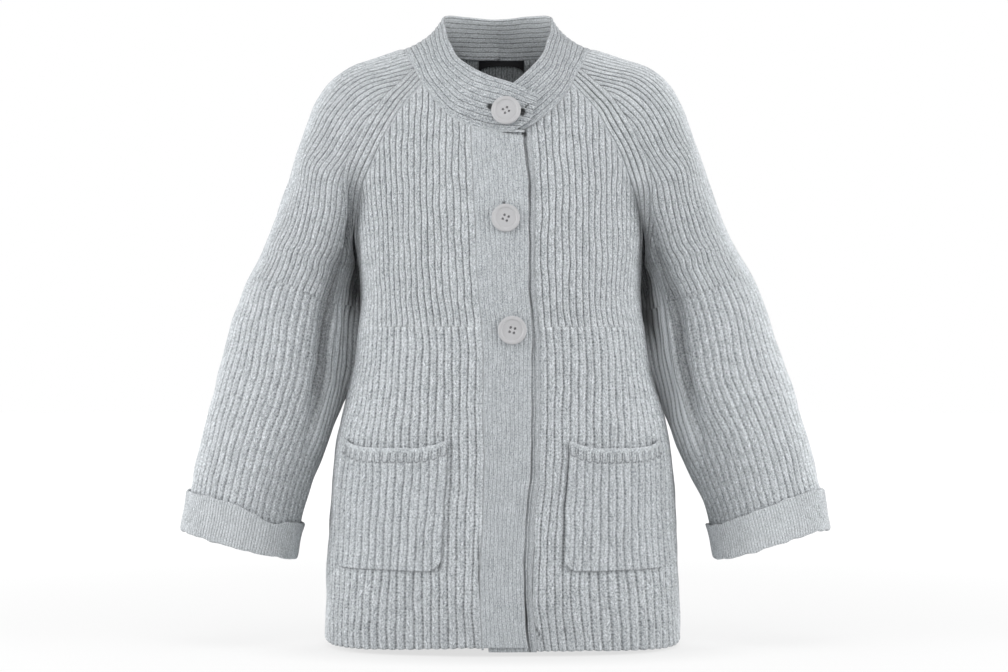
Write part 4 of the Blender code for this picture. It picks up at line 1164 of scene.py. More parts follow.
def add_cuff(side, node, finish, cloth):
    """Carries the cuff's section round the end of the sleeve, with fine ribs that run down the arm."""
    section = cuff_profile()
    above_fold, out = section[:, 0], section[:, 1]
    turns = CUFF_RIBS * CUFF_COLUMNS
    share = np.arange(turns) / turns
    ribs = ARM_RIBS * (2 * share - 1)
    down = (SLEEVE_LENGTH - above_fold)[:, None] + cuff_wave(side, ribs, section[:, :1])
    plain, normals = sleeve_cloth(side, ribs + 0 * down, down)
    fine = rib_profile(share * CUFF_RIBS, FINE_POWER) - 0.5
    relief = cloth.fine_rib_height / MM * fine * section[:, 2:]
    outwards = np.where(out > 0, 1.0, -1.0)[:, None]
    wave = 0.5 + 0.5 * np.sin(share * 2 * math.pi * 5 + 1 + side)
    wave = wave * ramp(above_fold, 20, CUFF_HEIGHT)[:, None] * (out > 1.0)[:, None]
    points = settle(plain + normals * (section[:, 1:2] + wave + relief * outwards)[..., None])
    ring = closed_ring(np.arange(down.size).reshape(down.shape))
    faces = grid_quads(np.concatenate([ring, ring[:1]]))
    run = running_length(section[:, :2])

    def knit_uv(corners, face_of_corner):
        """Ribs by the column, counted on where a face closes the ring, and rows by the run."""
        place = corners.reshape(-1, 4) % turns
        wrapped = (place.max(axis=1, keepdims=True) - place.min(axis=1, keepdims=True)) > turns / 2
        place = np.where(wrapped & (place < turns / 2), place + turns, place)
        return np.stack([place.ravel() / turns * CUFF_RIBS, run[corners // turns] / FINE_STITCH], axis=1)

    wall_row = 20
    side_way = points[wall_row, 1] - points[wall_row, 0]
    up_way = points[wall_row + 1, 0] - points[wall_row, 0]
    if np.dot(np.cross(side_way, up_way), normals[wall_row, 0]) < 0:
        faces = faces[:, ::-1]
    # Painted light: the cuff is lighter towards its inner side, more so on the left cuff.
    pale = np.broadcast_to((0.3 if side > 0 else 0.12) * ramp(np.abs(ribs), 7, 15), down.shape)
    piece = new_piece(node + "_knit", points.reshape(-1, 3), [faces], knit_uv, [("pale", pale)], finish)
    return as_cloth(piece, node)


def add_band(side, node, finish, cloth):
    """A band in fine rib, rounded at its hem and free edge, with a line of painted shade where the two bands
    meet.
    """
    shares = np.linspace(0, 1, COLUMNS * BAND_RIBS + 1)
    low, high = band_edges(side, NECKLINE["right_z"][1])
    tops = neck_height(side, low + (high - low) * shares) - SEAM_GAP
    heights = panel_heights(tops, 0 * shares, BAND_ROWS, BAND_HEM_DROP[side])
    grid = shares[None, :] + 0 * heights
    plain, normals = band_cloth(side, grid, heights)
    ribs = grid * BAND_RIBS
    low, high = band_edges(side, heights)
    from_free = (1 - grid if side < 0 else grid) * (high - low)
    full = rounded(heights - heights[0], BAND_HEM_ROUND) * rounded(from_free, FREE_EDGE_ROUND)
    # Painted shade along the right band's free edge, on both bands, uneven up the band and strongest near the
    # hem; the slits are painted dark as shade too.
    beyond = np.abs(plain[..., 0] - column(BANDS, "free_edge", heights) - 0.6)
    edge_shade = 0.42 + 0.12 * np.sin(0.041 * heights + 0.4) + 0.08 * np.sin(0.113 * heights)
    edge_shade = edge_shade + 0.1 * ramp(heights, -250, -180) + 0.38 * until(heights, -600, -530)
    gap = np.maximum(slits(plain, BAND_SLITS), edge_shade * until(beyond, 0.6, 1.9))
    relief = 0.8 * cloth.fine_rib_height / MM * rib_profile(ribs, FINE_POWER) * into_seam(tops - heights)
    rows = (heights - HEM) / FINE_STITCH
    piece = knit_wall(
        node + "_knit", plain, normals, ribs, rows, relief - 0.8 * gap, finish, FINE_WALL, full, 0.3, gap=gap,
    )
    return as_cloth(piece, node)


def add_pocket(side, node, finish, cloth):
    """A patch over the front's ribs, with ribs of its own that end in a flat border of rounded tabs.

    The border's outline is a bell over the distance from a half circle at each rib's end and the valleys."""
    low, high = POCKET_RIBS[side]
    count = POCKET_KNIT[side]
    ribs = np.linspace(low, high, count * POCKET_COLUMNS + 1)
    from_side = np.minimum(ribs - low, high - ribs) * POCKET_RIB_PITCH
    share = (ribs - low) / (high - low) * 2 - 1
    top = POCKET_TOP + POCKET_TOP_RISE * share**4 - corner_cut(POCKET_TOP_CORNER, from_side)
    bottom = POCKET_BOTTOM + corner_cut(POCKET_BOTTOM_CORNER, from_side)
    rows = np.concatenate([
        [0, 0.003, 0.009, 0.018, 0.03], np.linspace(0.05, 0.87, 32), np.linspace(0.88, 0.965, 18),
        [0.974, 0.982, 0.991, 0.997, 1],
    ])[:, None]
    heights = bottom + (top - bottom) * rows
    grid = ribs[None, :] + 0 * heights
    points, normals = front_cloth(side, grid, heights)
    gape = POCKET_GAPE * ramp(rows, 0.6, 1) * (1 - share**4)
    lift = RIB_RELIEF + LAYER_GAP + WALL + 0.1 + gape
    own = (grid - low) / (high - low) * count
    below_mouth = top - heights
    from_valley = (own - np.floor(own) - 0.5) * POCKET_RIB_PITCH
    down_tab = np.maximum(below_mouth - POCKET_BORDER + POCKET_TAB_RADIUS, 0)
    past_tab = np.hypot(from_valley, down_tab) - POCKET_TAB_RADIUS
    outline = bell(past_tab, 0.75) * ramp(below_mouth, 3.5, 6.0)
    ribbed = ramp(below_mouth, POCKET_BORDER - 4.0, POCKET_BORDER) * ramp(past_tab, -0.2, 0.6)
    relief = 1.1 * (1 - ribbed) + ribbed * chunky_relief(own, 1.0, cloth) - 0.7 * outline
    sewn = np.minimum(from_side[None, :] + 0 * heights, heights - bottom)
    plain = points + normals * lift[..., None]
    # Painted shade along the outline of the tabs, along the sewn edges, and on the part towards the side
    # seam.
    piece = knit_wall(
        node + "_knit", plain, normals, own, (heights - HEM) / STITCH, relief, finish, WALL,
        rounded(np.minimum(sewn, below_mouth), POCKET_ROUND), ladder=ribbed, flat=1 - 0.88 * ribbed,
        gap=np.clip(0.6 * outline + 0.35 * until(sewn, 0.2, 1.1) + 0.18 * ramp(share, 0.6, 1.0), 0, 1),
    )
    return as_cloth(piece, node)


def add_collar(node, finish, cloth):
    """The collar in fine rib along its length. The lower corner of its right end is cut back a little."""
    shares = np.linspace(-COLLAR_RIGHT_END, COLLAR_LEFT_END, 441)
    up = np.linspace(SEAM_GAP / COLLAR_HEIGHT, 1, COLUMNS * COLLAR_RIBS + 1)
    along, grid = shares[:, None] + 0 * up, up + 0 * shares[:, None]
    along = along + 0.035 * until(grid, 0, 0.45) ** 2 * ramp(-along, 1.0, COLLAR_RIGHT_END)
    plain, normals = collar_cloth(along, grid)
    ribs = grid * COLLAR_RIBS
    ends = (np.minimum(shares + COLLAR_RIGHT_END, COLLAR_LEFT_END - shares) * COLLAR_HALF_LENGTH)[:, None]
    full = rounded(ends, FREE_EDGE_ROUND) * rounded((1 - grid) * COLLAR_HEIGHT, FREE_EDGE_ROUND)
    over = (along < -0.9) & (grid > 0.1)
    # The slits are dented and painted dark as shade, and inner_pale paints light on the inside, most on its
    # crests.
    gap = slits(plain, COLLAR_SLITS) * over
    relief = 1.2 * cloth.fine_rib_height / MM * rib_profile(ribs, FINE_POWER) - 1.2 * gap
    rows = along * COLLAR_HALF_LENGTH / FINE_STITCH
    piece = knit_wall(
        node + "_knit", plain, normals, ribs, rows, relief, finish, FINE_WALL, full, 1.3, inner_pale=0.95,
        gap=gap,
    )
    return as_cloth(piece, node)


def button_height(radius, angle, size, turn):
    """Height of the button's face: a raised rim round a dish, sunk at four round holes in a square."""
    face = BUTTON_THICKNESS - BUTTON_DISH + BUTTON_RIM * ramp(radius, size - 4.6, size - 3.0)
    face = face - BUTTON_DISH * (1 - rounded(size - radius, BUTTON_DISH))
    face = face - 0.12 * ramp(radius, size * 0.35, size * 0.30)
    x, y = radius * np.cos(angle), radius * np.sin(angle)
    reach = BUTTON_HOLE_PITCH / math.sqrt(2)
    hole = BUTTON_HOLE_DIAMETER / 2
    for quarter in range(4):
        way = math.radians(turn + 90 * quarter)
        from_hole = np.hypot(x - reach * math.cos(way), y - reach * math.sin(way))
        face = face - (BUTTON_THICKNESS - 1.5) * ramp(-from_hole, -hole - 0.25, -hole + 0.1)
    return face


def add_button(node, place, finish, trim):
    """A disc as a height over its polar grid, closed by a rounded edge and a flat back."""
    seat, outward, turn, share = place
    size = trim.button_diameter / MM / 2 * share
    angles = np.arange(BUTTON_SIDES) * 2 * math.pi / BUTTON_SIDES
    middle = 0.15  # radius of the small rings that the two poles close
    edge = size - BUTTON_DISH * (1 - np.sin(np.linspace(0.15, 1, 6) * math.pi / 2))
    radii = np.concatenate([
        np.linspace(middle, 5.2, 42), np.linspace(5.6, size - 5, 5), np.linspace(size - 4.7, size - 1.4, 14),
        edge,
    ])
    radius, angle = np.meshgrid(radii, angles, indexing="ij")
    heights = button_height(radius, angle, size, turn)
    rings = [np.stack([radius * np.cos(angle), radius * np.sin(angle), heights], -1)]
    for r, h in ((size, 1.3), (size - 0.5, 0.5), (size - 1.8, 0.05), (size * 0.5, 0.0), (middle, 0.0)):
        rings.append(np.stack([r * np.cos(angles), r * np.sin(angles), h + 0 * angles], -1)[None])
    rings = np.concatenate(rings)
    index = np.arange(len(rings) * BUTTON_SIDES).reshape(len(rings), BUTTON_SIDES)
    ring = closed_ring(index)
    front, back = (np.full(BUTTON_SIDES, index.size + pole) for pole in (0, 1))
    caps = np.concatenate([
        np.stack([ring[0, :-1], ring[0, 1:], front], -1), np.stack([ring[-1, 1:], ring[-1, :-1], back], -1),
    ])
    points = np.concatenate([rings.reshape(-1, 3), rings[[0, -1]].mean(axis=1)])
    turned = np.array(Vector(outward).to_track_quat("Z", "Y").to_matrix())
    world = points @ turned.T + settle(seat[None, :])[0]
    piece = new_piece(node + "_dished", world, [grid_quads(ring)[:, ::-1], caps], None, (), finish)
    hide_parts(node)
    return piece


def seam_lines():
    """The lines along which the pieces are sewn: their points and the directions out of the cloth."""
    down = np.linspace(0, SLEEVE_UNDERARM, 130)
    below = np.linspace(350, SLEEVE_LENGTH - SLEEVE_END, 100)
    heights = np.linspace(HEM + 6.0, UNDERARM, 140)
    lines = []
    for side in BOTH:
        mirror = np.array([side, 1.0, 1.0])
        for face in ("front", "back"):
            seam = seam_point(face, down)
            out = out_of_body(face, sleeve_column(face + "_angle", down), seam[:, 2])
            lines.append((seam * mirror, out * mirror))
        inner = placed_sleeve(side, seam_point("front", below), below)
        lines.append((inner, np.zeros_like(inner) - np.array([side, 0, 0])))
        flank = body_point("front", 90.0, heights) * mirror
        lines.append((flank, np.zeros_like(flank) + np.array([side, 0, 0])))
        seam_edge = 0 if side < 0 else 1
        x = band_edges(side, NECKLINE["right_z"][1])[seam_edge]
        rise = np.linspace(HEM + 1.5, neck_height(side, x) - 1.0, 170)
        lines.append(band_cloth(side, seam_edge + 0 * rise, rise))
        round_neck = side * np.linspace(0.0, 1.09 if side < 0 else 0.93, 150)
        lines.append(collar_cloth(round_neck, 0 * round_neck))
    return lines


def add_seams(name, finish):
    """Closed tubes of yarn along the seams, sunk so that the ribs stand higher than they do."""
    turns = np.arange(SEAM_YARN_SIDES) / SEAM_YARN_SIDES * 2 * math.pi
    cosine, sine = (SEAM_YARN_RADIUS * wave(turns)[None, :, None] for wave in (np.cos, np.sin))
    points, quads, caps, pairs = [], [], [], []
    count = 0
    for line, out in seam_lines():
        forward = unit(np.gradient(line, axis=0))
        out = unit(out - np.sum(out * forward, axis=1, keepdims=True) * forward)
        aside = np.cross(forward, out)
        tube = (line - out * SEAM_YARN_SUNK)[:, None] + cosine * out[:, None] + sine * aside[:, None]
        index = count + np.arange(len(line) * SEAM_YARN_SIDES).reshape(len(line), SEAM_YARN_SIDES)
        points.append(tube.reshape(-1, 3))
        quads.append(grid_quads(closed_ring(index)))
        caps.append(np.stack([index[0, ::-1], index[-1]]))
        around = np.broadcast_to(turns / math.pi, index.shape)
        rows = (running_length(line) / FINE_STITCH)[:, None] + 0 * index
        pairs.append(np.stack([around, rows], -1).reshape(-1, 2))
        count += index.size
    points, quads, caps, pairs = (np.concatenate(part) for part in (points, quads, caps, pairs))
    piece = new_piece(name, settle(points), [quads, caps], pairs, [("pale", np.full(count, 0.3))], finish)
    return piece


def add_label(node, finish):
    """A plain woven label below the back neck seam: a strip whose two ends are deeper than its middle."""
    x = np.linspace(-LABEL_HALF_WIDTH, LABEL_HALF_WIDTH, 49) + LABEL_SHIFT
    share = (x - LABEL_SHIFT) / LABEL_HALF_WIDTH
    drop = LABEL_MIDDLE_DROP + (LABEL_END_DROP - LABEL_MIDDLE_DROP) * share**4
    rows = np.linspace(1, 0, 13)[:, None]
    heights = back_neck_height(0.0) - 1.0 - drop * rows
    inside = body_y("back", x, heights) - WALL - LAYER_GAP
    away = LABEL_THICKNESS + 0.8 + 1.5 * rows * (1 - share**2)
    plain = np.stack([x + 0 * heights, inside - away, heights], axis=-1)
    backwards = np.zeros_like(plain) + np.array([0, 1.0, 0])
    threads, lines = (x[None, :] + 0 * heights) / LABEL_THREAD, heights / LABEL_THREAD
    piece = knit_wall(
        node + "_tape", plain, backwards, threads, lines, 0 * heights, finish, LABEL_THICKNESS, 1.0, 0.0,
    )
    return as_cloth(piece, node)


# ---- Materials --------------------------------------------------------------------------------------------

# Each wool's contrast and share of light yarn in its marl, the relief of its stitches in metres, and the
# weight of the painted shade in their hollows. The shares set each piece's brightness partly as painted
# light: lower on the collar, which the top light falls on, and higher on the cuffs.
WOOLS = {
    "marled_wool_knit": (1.05, 0.50, 0.0008, 0.85),
    "pocket_rib_knit": (0.95, 0.43, 0.0008, 0.6),
    "fine_rib_knit": (0.8, 0.34, 0.0004, 0.45),
    "cuff_rib_knit": (1.15, 0.74, 0.0006, 0.95),
    "collar_rib_knit": (1.1, 0.29, 0.0005, 0.95),
}


def feed(tree, socket, value):
    """Gives an input a number or a colour, or links it to a socket or a signal."""
    value = getattr(value, "socket", value)
    if isinstance(value, bpy.types.NodeSocket):
        tree.links.new(value, socket)
    elif np.ndim(value) and socket.type == "RGBA":
        socket.default_value = (*value[:3], 1)
    else:
        socket.default_value = value


def feed_all(tree, node, **values):
    """Feeds a node's inputs, whose names are written with low lines for spaces."""
    for name, value in values.items():
        feed(tree, node.inputs[name.replace("_", " ")], value)


class Signal:
    """What a socket of a node tree gives. Arithmetic on it adds math nodes, so formulas read as such."""

    def __init__(self, tree, socket):
        self.tree = tree
        self.socket = socket

    def math(self, operation, *values):
        """A math node fed with the values, numbers or signals."""
        node = self.tree.nodes.new("ShaderNodeMath")
        node.operation = operation
        for socket, value in zip(node.inputs, values):
            feed(self.tree, socket, value)
        return Signal(self.tree, node.outputs[0])

    def __add__(self, other):
        return self.math("ADD", self, other)

    def __sub__(self, other):
        return self.math("SUBTRACT", self, other)

    def __rsub__(self, other):
        return self.math("SUBTRACT", other, self)

    def __mul__(self, other):
        return self.math("MULTIPLY", self, other)

    def __pow__(self, other):
        return self.math("POWER", self, other)

    def __abs__(self):
        return self.math("ABSOLUTE", self)

    __radd__ = __add__

    def part(self):
        """What is left of a number after its whole part."""
        return self.math("FRACT", self)

    def floor(self):
        """The whole number below."""
        return self.math("FLOOR", self)

    def nearest(self):
        """The nearest whole number."""
        return self.math("ROUND", self)

    def sine(self):
        """The sine of an angle in radians."""
        return self.math("SINE", self)

    def within(self, low, high):
        """Not below low and not above high."""
        return self.math("MINIMUM", self.math("MAXIMUM", self, low), high)

    def clamped(self):
        """Keeps the last math node's result from 0 to 1."""
        self.socket.node.use_clamp = True
        return self


def step(tree, value, start, end, low=0.0, high=1.0):
    """A soft step of the value from start to end, between low and high."""
    node = tree.nodes.new("ShaderNodeMapRange")
    node.interpolation_type = "SMOOTHSTEP"
    feed_all(tree, node, Value=value, From_Min=start, From_Max=end, To_Min=low, To_Max=high)
    return Signal(tree, node.outputs["Result"])


def mix_colours(tree, share, first, second, blend="MIX"):
    """A colour mix. Share is a number or a signal, the colours are triples or signals."""
    node = tree.nodes.new("ShaderNodeMix")
    node.data_type = "RGBA"
    node.blend_type = blend
    node.clamp_factor = False
    colours = [s for s in node.inputs if s.type == "RGBA"]
    for socket, value in ((node.inputs[0], share), (colours[0], first), (colours[1], second)):
        feed(tree, socket, value)
    return Signal(tree, [s for s in node.outputs if s.type == "RGBA"][0])


def noise(tree, vector, scale, detail=2.0, roughness=0.5):
    """Soft noise, from 0 to 1 and mostly near a half."""
    node = tree.nodes.new("ShaderNodeTexNoise")
    feed_all(tree, node, Vector=vector, Scale=scale, Detail=detail, Roughness=roughness)
    return Signal(tree, node.outputs["Fac"])


def vector_of(tree, *values):
    """A vector of three numbers or signals."""
    node = tree.nodes.new("ShaderNodeCombineXYZ")
    for socket, value in zip(node.inputs, values):
        feed(tree, socket, value)
    return Signal(tree, node.outputs[0])


def random_cell(tree, *values):
    """A random number from 0 to 1 for each triple of whole numbers."""
    node = tree.nodes.new("ShaderNodeTexWhiteNoise")
    node.noise_dimensions = "3D"
    feed_all(tree, node, Vector=vector_of(tree, *values))
    return Signal(tree, node.outputs["Value"])


def object_place(tree):
    """The place on the piece, in metres."""
    return Signal(tree, tree.nodes.new("ShaderNodeTexCoord").outputs["Object"])


def knit_pair(tree):
    """The rib number and the stitch row that the piece's knit map gives."""
    uv = tree.nodes.new("ShaderNodeUVMap")
    uv.uv_map = "knit"
    pair = tree.nodes.new("ShaderNodeSeparateXYZ")
    tree.links.new(uv.outputs["UV"], pair.inputs[0])
    return [Signal(tree, pair.outputs[axis]) for axis in "XY"]


def bumped(tree, shader, height, depth, strength=1.0):
    """Turns the shader's normals by the slopes of a height, whose depth is in metres."""
    bump = tree.nodes.new("ShaderNodeBump")
    feed_all(tree, bump, Height=height, Distance=depth, Strength=strength)
    tree.links.new(bump.outputs["Normal"], shader.inputs["Normal"])


def new_group(name, inputs, outputs):
    """An empty node group: its tree, its inputs as signals by name, and the sockets of its outputs."""
    tree = bpy.data.node_groups.new(name, "ShaderNodeTree")
    kinds = {"value": "NodeSocketFloat", "colour": "NodeSocketColor"}
    for way, sockets in (("INPUT", inputs), ("OUTPUT", outputs)):
        for label, kind in sockets.items():
            tree.interface.new_socket(label, in_out=way, socket_type=kinds[kind])
    given = tree.nodes.new("NodeGroupInput").outputs
    signals = {label: Signal(tree, given[label]) for label in inputs}
    return tree, signals, tree.nodes.new("NodeGroupOutput").inputs


def knit_group():
    """Rib knit from a rib number and a stitch row.

    Away is the distance from the middle of the rib, 0 to 1 in its valley. The two legs of each V are arcs of
    the row minus a share of away. Valleys hold the purl bars, one for each row. Shade is painted shade: in
    the valleys, in the gaps between the bars, and in the grooves between the legs and the strands."""
    tree, given, result = new_group(
        "rib_knit",
        {"Rib": "value", "Row": "value", "Ladder": "value", "Flat": "value"},
        {"Height": "value", "Shade": "value", "Tone": "value"},
    )
    rib, row, ladder, flat = given.values()
    drift = noise(tree, vector_of(tree, rib, row * 0.5, 0.0), 0.8)
    rib = rib + (drift - 0.5) * 0.16
    away = abs(rib.part() * 2.0 - 1.0)
    phase = row - away * 2.0
    strand = 1.0 - abs(phase.part() * 2.0 - 1.0) ** 2.5
    legs = step(tree, away, 0.0, 0.24)
    valley = step(tree, away, 0.75 - ladder * 0.15, 1.0 - ladder * 0.09) * (1.0 - flat)
    bar = 1.0 - abs(row.part() * 2.0 - 1.0) ** 2.0
    tone = random_cell(tree, (rib * 2.0).floor(), phase.floor(), 3.0)
    hole = random_cell(tree, rib.nearest(), row.nearest(), 7.0)
    crest = 1.0 - valley
    height = crest * (0.45 + (strand * 0.3 + legs * 0.25)) + valley * bar * 0.35
    dark = valley * (1.0 - bar * (0.15 + ladder * 0.45)) * (0.78 + hole * 0.4)
    shade = (dark + crest * ((1.0 - strand) * 0.30 + (1.0 - legs) * 0.30)).clamped()
    for name, value in (("Height", height), ("Shade", shade), ("Tone", tone)):
        feed(tree, result[name], value)
    return tree


def yarn_group():
    """Marled yarn: dark and light wool mixed by slow patches, short flecks and a random tone for each stitch.

    The knit's Shade and the piece's mask of painted shade then darken it, each by its weight."""
    tree, given, result = new_group(
        "marled_yarn",
        {"Rib": "value", "Row": "value", "Tone": "value", "Shade": "value", "Gap": "value", "Light": "colour",
         "Dark": "colour", "Contrast": "value", "Share": "value"},
        {"Color": "colour", "Fibre": "value"},
    )
    rib, row, stitch_tone, shade, gap, light, dark, contrast, light_share = given.values()
    place = object_place(tree)
    flecks = noise(tree, vector_of(tree, rib * 4.6, row * 1.9, 0.0), 1.0, 2.0, 0.75)
    fibre = noise(tree, place, 900.0, 2.0, 0.6)
    patches = noise(tree, place, 60.0, 2.0)
    streaks = noise(tree, vector_of(tree, rib * 2.2, row * 0.7, 0.0), 1.7, 3.0)
    weights = ((flecks, 2.6), (fibre, 1.6), (patches, 0.2), (streaks, 1.0), (stitch_tone, 0.4))
    first, *others = ((value - 0.5) * weight for value, weight in weights)
    tone = (light_share + sum(others, first) * contrast).within(-0.3, 1.5)
    kept = (1.0 - shade * 0.72) * (1.0 - gap * 0.93)
    mixed = mix_colours(tree, tone, dark, light)
    shaded = mix_colours(tree, 1.0, mixed, vector_of(tree, kept, kept, kept), "MULTIPLY")
    feed(tree, result["Color"], shaded)
    feed(tree, result["Fibre"], fibre)
    return tree


def placed_group(tree, name, make, **values):
    """A node of the group of this name, which is made when it is first placed, fed with the values."""
    node = tree.nodes.new("ShaderNodeGroup")
    node.node_tree = bpy.data.node_groups.get(name) or make()
    feed_all(tree, node, **values)
    return {output.name: Signal(tree, output) for output in node.outputs}


def material(name, make, *settings):
    """The material of this name, which is made when it is first asked for."""
    found = bpy.data.materials.get(name)
    if not found:
        found = bpy.data.materials.new(name)
        found.use_nodes = True
        make(found.node_tree, found.node_tree.nodes["Principled BSDF"], *settings)
    return found


def wool_nodes(tree, shader, cloth, contrast, light_share, depth, shade):
    """Wool in rib knit: the yarn's colour over the knit's stitches, by the piece's knit map and masks."""
    rib, row = knit_pair(tree)
    marks = {}
    for key in ("ladder", "gap", "flat", "pale"):
        node = tree.nodes.new("ShaderNodeAttribute")
        node.attribute_name = key
        marks[key] = Signal(tree, node.outputs["Fac"])
    knit = placed_group(
        tree, "rib_knit", knit_group, Rib=rib, Row=row, Ladder=marks["ladder"], Flat=marks["flat"],
    )
    # The shade mask darkens the yarn as painted shade, and pale raises the light wool's share as painted
    # light.
    yarn = placed_group(
        tree, "marled_yarn", yarn_group, Rib=rib, Row=row, Tone=knit["Tone"], Shade=knit["Shade"] * shade,
        Gap=marks["gap"], Light=cloth.light_yarn, Dark=cloth.dark_yarn, Contrast=contrast,
        Share=light_share + marks["pale"],
    )
    feed_all(
        tree, shader, Base_Color=yarn["Color"], Roughness=0.95, Specular_IOR_Level=0.15, Sheen_Weight=0.25,
        Sheen_Roughness=0.6,
    )
    bumped(tree, shader, knit["Height"] + yarn["Fibre"] * 0.25, depth)


def wool(name, cloth):
    """One of the wools by its name."""
    return material(name, wool_nodes, cloth, *WOOLS[name])


def button_nodes(tree, shader, trim):
    """Matt grey plastic with a faint cloud and fine scratches."""
    place = object_place(tree)
    grain = noise(tree, place, 2600.0, 2.0)
    tone = noise(tree, place, 120.0, 3.0) * 0.7 + grain * 0.3
    base = np.array(trim.button_colour)
    colour = mix_colours(tree, tone, base * 0.9, base * 1.08)
    feed_all(tree, shader, Base_Color=colour, Roughness=step(tree, grain, 0.3, 0.7, 0.38, 0.52))
    bumped(tree, shader, grain, 0.00008, 0.25)


def label_nodes(tree, shader, trim):
    """Plain black woven tape: over and under threads from the product of the sines of its two directions."""
    across, along = ((number * math.pi).sine() for number in knit_pair(tree))
    weave = 0.5 + across * along * 0.5
    base = np.array(trim.label_colour)
    feed_all(tree, shader, Base_Color=mix_colours(tree, weave, base * 0.6, base * 1.6), Roughness=0.7)
    bumped(tree, shader, weave, 0.0002)


# ---- Settings ---------------------------------------------------------------------------------------------


class CardiganCloth(bpy.types.PropertyGroup):
    """Sizes and colours of the knitted cloth."""

    rib_height: FloatProperty(
        name="Rib height", description="Height of the chunky ribs above their valleys",
        default=RIB_RELIEF * MM, min=0.0005, max=0.004, unit="LENGTH",
    )
    fine_rib_height: FloatProperty(
        name="Fine rib height", description="Height of the ribs of the collar, bands and cuffs",
        default=0.0009, min=0.0002, max=0.002, unit="LENGTH",
    )
    light_yarn: FloatVectorProperty(
        name="Light yarn", description="Colour of the light wool in the marl",
        default=(0.66, 0.692, 0.717), size=3, min=0, max=1, subtype="COLOR",
    )
    dark_yarn: FloatVectorProperty(
        name="Dark yarn", description="Colour of the dark wool in the marl",
        default=(0.30, 0.321, 0.338), size=3, min=0, max=1, subtype="COLOR",
    )


class CardiganTrim(bpy.types.PropertyGroup):
    """Buttons and neck label."""

    button_diameter: FloatProperty(
        name="Button diameter", description="Width of each button",
        default=BUTTON_DIAMETER * MM, min=0.01, max=0.05, unit="LENGTH",
    )
    button_colour: FloatVectorProperty(
        name="Button colour", description="Colour of the buttons",
        default=(0.43, 0.43, 0.44), size=3, min=0, max=1, subtype="COLOR",
    )
    label_colour: FloatVectorProperty(
        name="Label colour", description="Colour of the plain neck label",
        default=(0.012, 0.012, 0.015), size=3, min=0, max=1, subtype="COLOR",
    )


class CardiganStage(bpy.types.PropertyGroup):
    """Floor, light and camera."""

    floor_drop: FloatProperty(
        name="Floor distance", description="Distance from the hem down to the floor",
        default=0.003, min=0.0, max=1.0, unit="LENGTH",
    )
    side_power: FloatProperty(
        name="Side lights", description="Power of each large light beside the garment",
        default=42.0, min=0.0, max=500.0, unit="POWER",
    )
    front_power: FloatProperty(
        name="Front light", description="Power of the soft front light",
        default=8.0, min=0.0, max=500.0, unit="POWER",
    )
    top_power: FloatProperty(
        name="Top light", description="Power of the light above",
        default=15.0, min=0.0, max=500.0, unit="POWER",
    )
    sky: FloatProperty(
        name="Room light", description="Brightness of the white room",
        default=0.55, min=0.0, max=3.0,
    )


# ---- Stage ------------------------------------------------------------------------------------------------

FLOOR_RADIUS = 9.0
FLOOR_SIDES = 96
ROOM_WHITE = (1, 1, 1)

# Lights: place, target, size and share of the power that the settings give.
LIGHTS = {
    "right_light": ((-2.4, -1.0, 0.35), (0, 0, -0.3), 1.4, "side_power", 1.08),
    "left_light": ((2.4, -1.0, 0.35), (0, 0, -0.3), 1.4, "side_power", 0.96),
    "front_light": ((-0.3, -3.2, 0.9), (0, 0, -0.3), 1.6, "front_power", 1.0),
    "top_light": ((0.0, -0.6, 2.2), (0, 0, -0.2), 1.4, "top_power", 1.0),
}
CAMERA_PLACE = (0.0022, -3.0, -0.3036)
CAMERA_LENS = 97.4  # millimetres, on a sensor 36 mm wide


def length_of(tree, vector):
    """Length of a vector."""
    node = tree.nodes.new("ShaderNodeVectorMath")
    node.operation = "LENGTH"
    feed(tree, node.inputs[0], vector)
    return Signal(tree, node.outputs["Value"])


def seen_by_camera(tree):
    """1 for what the camera sees directly, and 0 for what light finds on its way."""
    return Signal(tree, tree.nodes.new("ShaderNodeLightPath").outputs["Is Camera Ray"])


def floor_nodes(tree, shader):
    """A pale floor that the camera sees glowing near white, with a painted shadow: a softly darker oval below
    the garment, where the glow is weaker.
    """
    place = object_place(tree)
    grain = noise(tree, place, 3.0)
    seen = seen_by_camera(tree)
    pale = mix_colours(tree, grain, (0.74, 0.74, 0.74), (0.78, 0.78, 0.78))
    # Painted shadow: the camera-only glow is weaker in an oval just in front of and below the garment, and a
    # little stronger far from it.
    oval = tree.nodes.new("ShaderNodeVectorMath")
    oval.operation = "MULTIPLY_ADD"
    for socket, value in zip(oval.inputs, (place, (5.0, 10.0, 0.0), (0.0, 1.0, 0.0))):
        feed(tree, socket, value)
    near = length_of(tree, oval.outputs["Vector"])
    glow_with_shadow = step(tree, near, 0.55, 1.5, 0.705, 0.81) + step(tree, length_of(tree, place), 0.6, 2.5, 0.0, 0.2)
    feed_all(
        tree, shader, Base_Color=mix_colours(tree, seen, pale, (0.15, 0.15, 0.15)), Roughness=0.9,
        Specular_IOR_Level=0.0, Emission_Color=ROOM_WHITE, Emission_Strength=seen * glow_with_shadow,
    )


def add_floor(scene, height):
    """A round floor, one flat face with its points on a circle."""
    turns = np.linspace(0, 2 * math.pi, FLOOR_SIDES + 1)[:-1]
    ring = np.stack([FLOOR_RADIUS * np.cos(turns), FLOOR_RADIUS * np.sin(turns), 0 * turns + height], axis=1)
    mesh = bpy.data.meshes.new("studio_floor")
    mesh.from_pydata(ring.tolist(), [], [list(range(FLOOR_SIDES))])
    mesh.materials.append(material("pale_floor", floor_nodes))
    floor = bpy.data.objects.new("studio_floor", mesh)
    scene.collection.objects.link(floor)


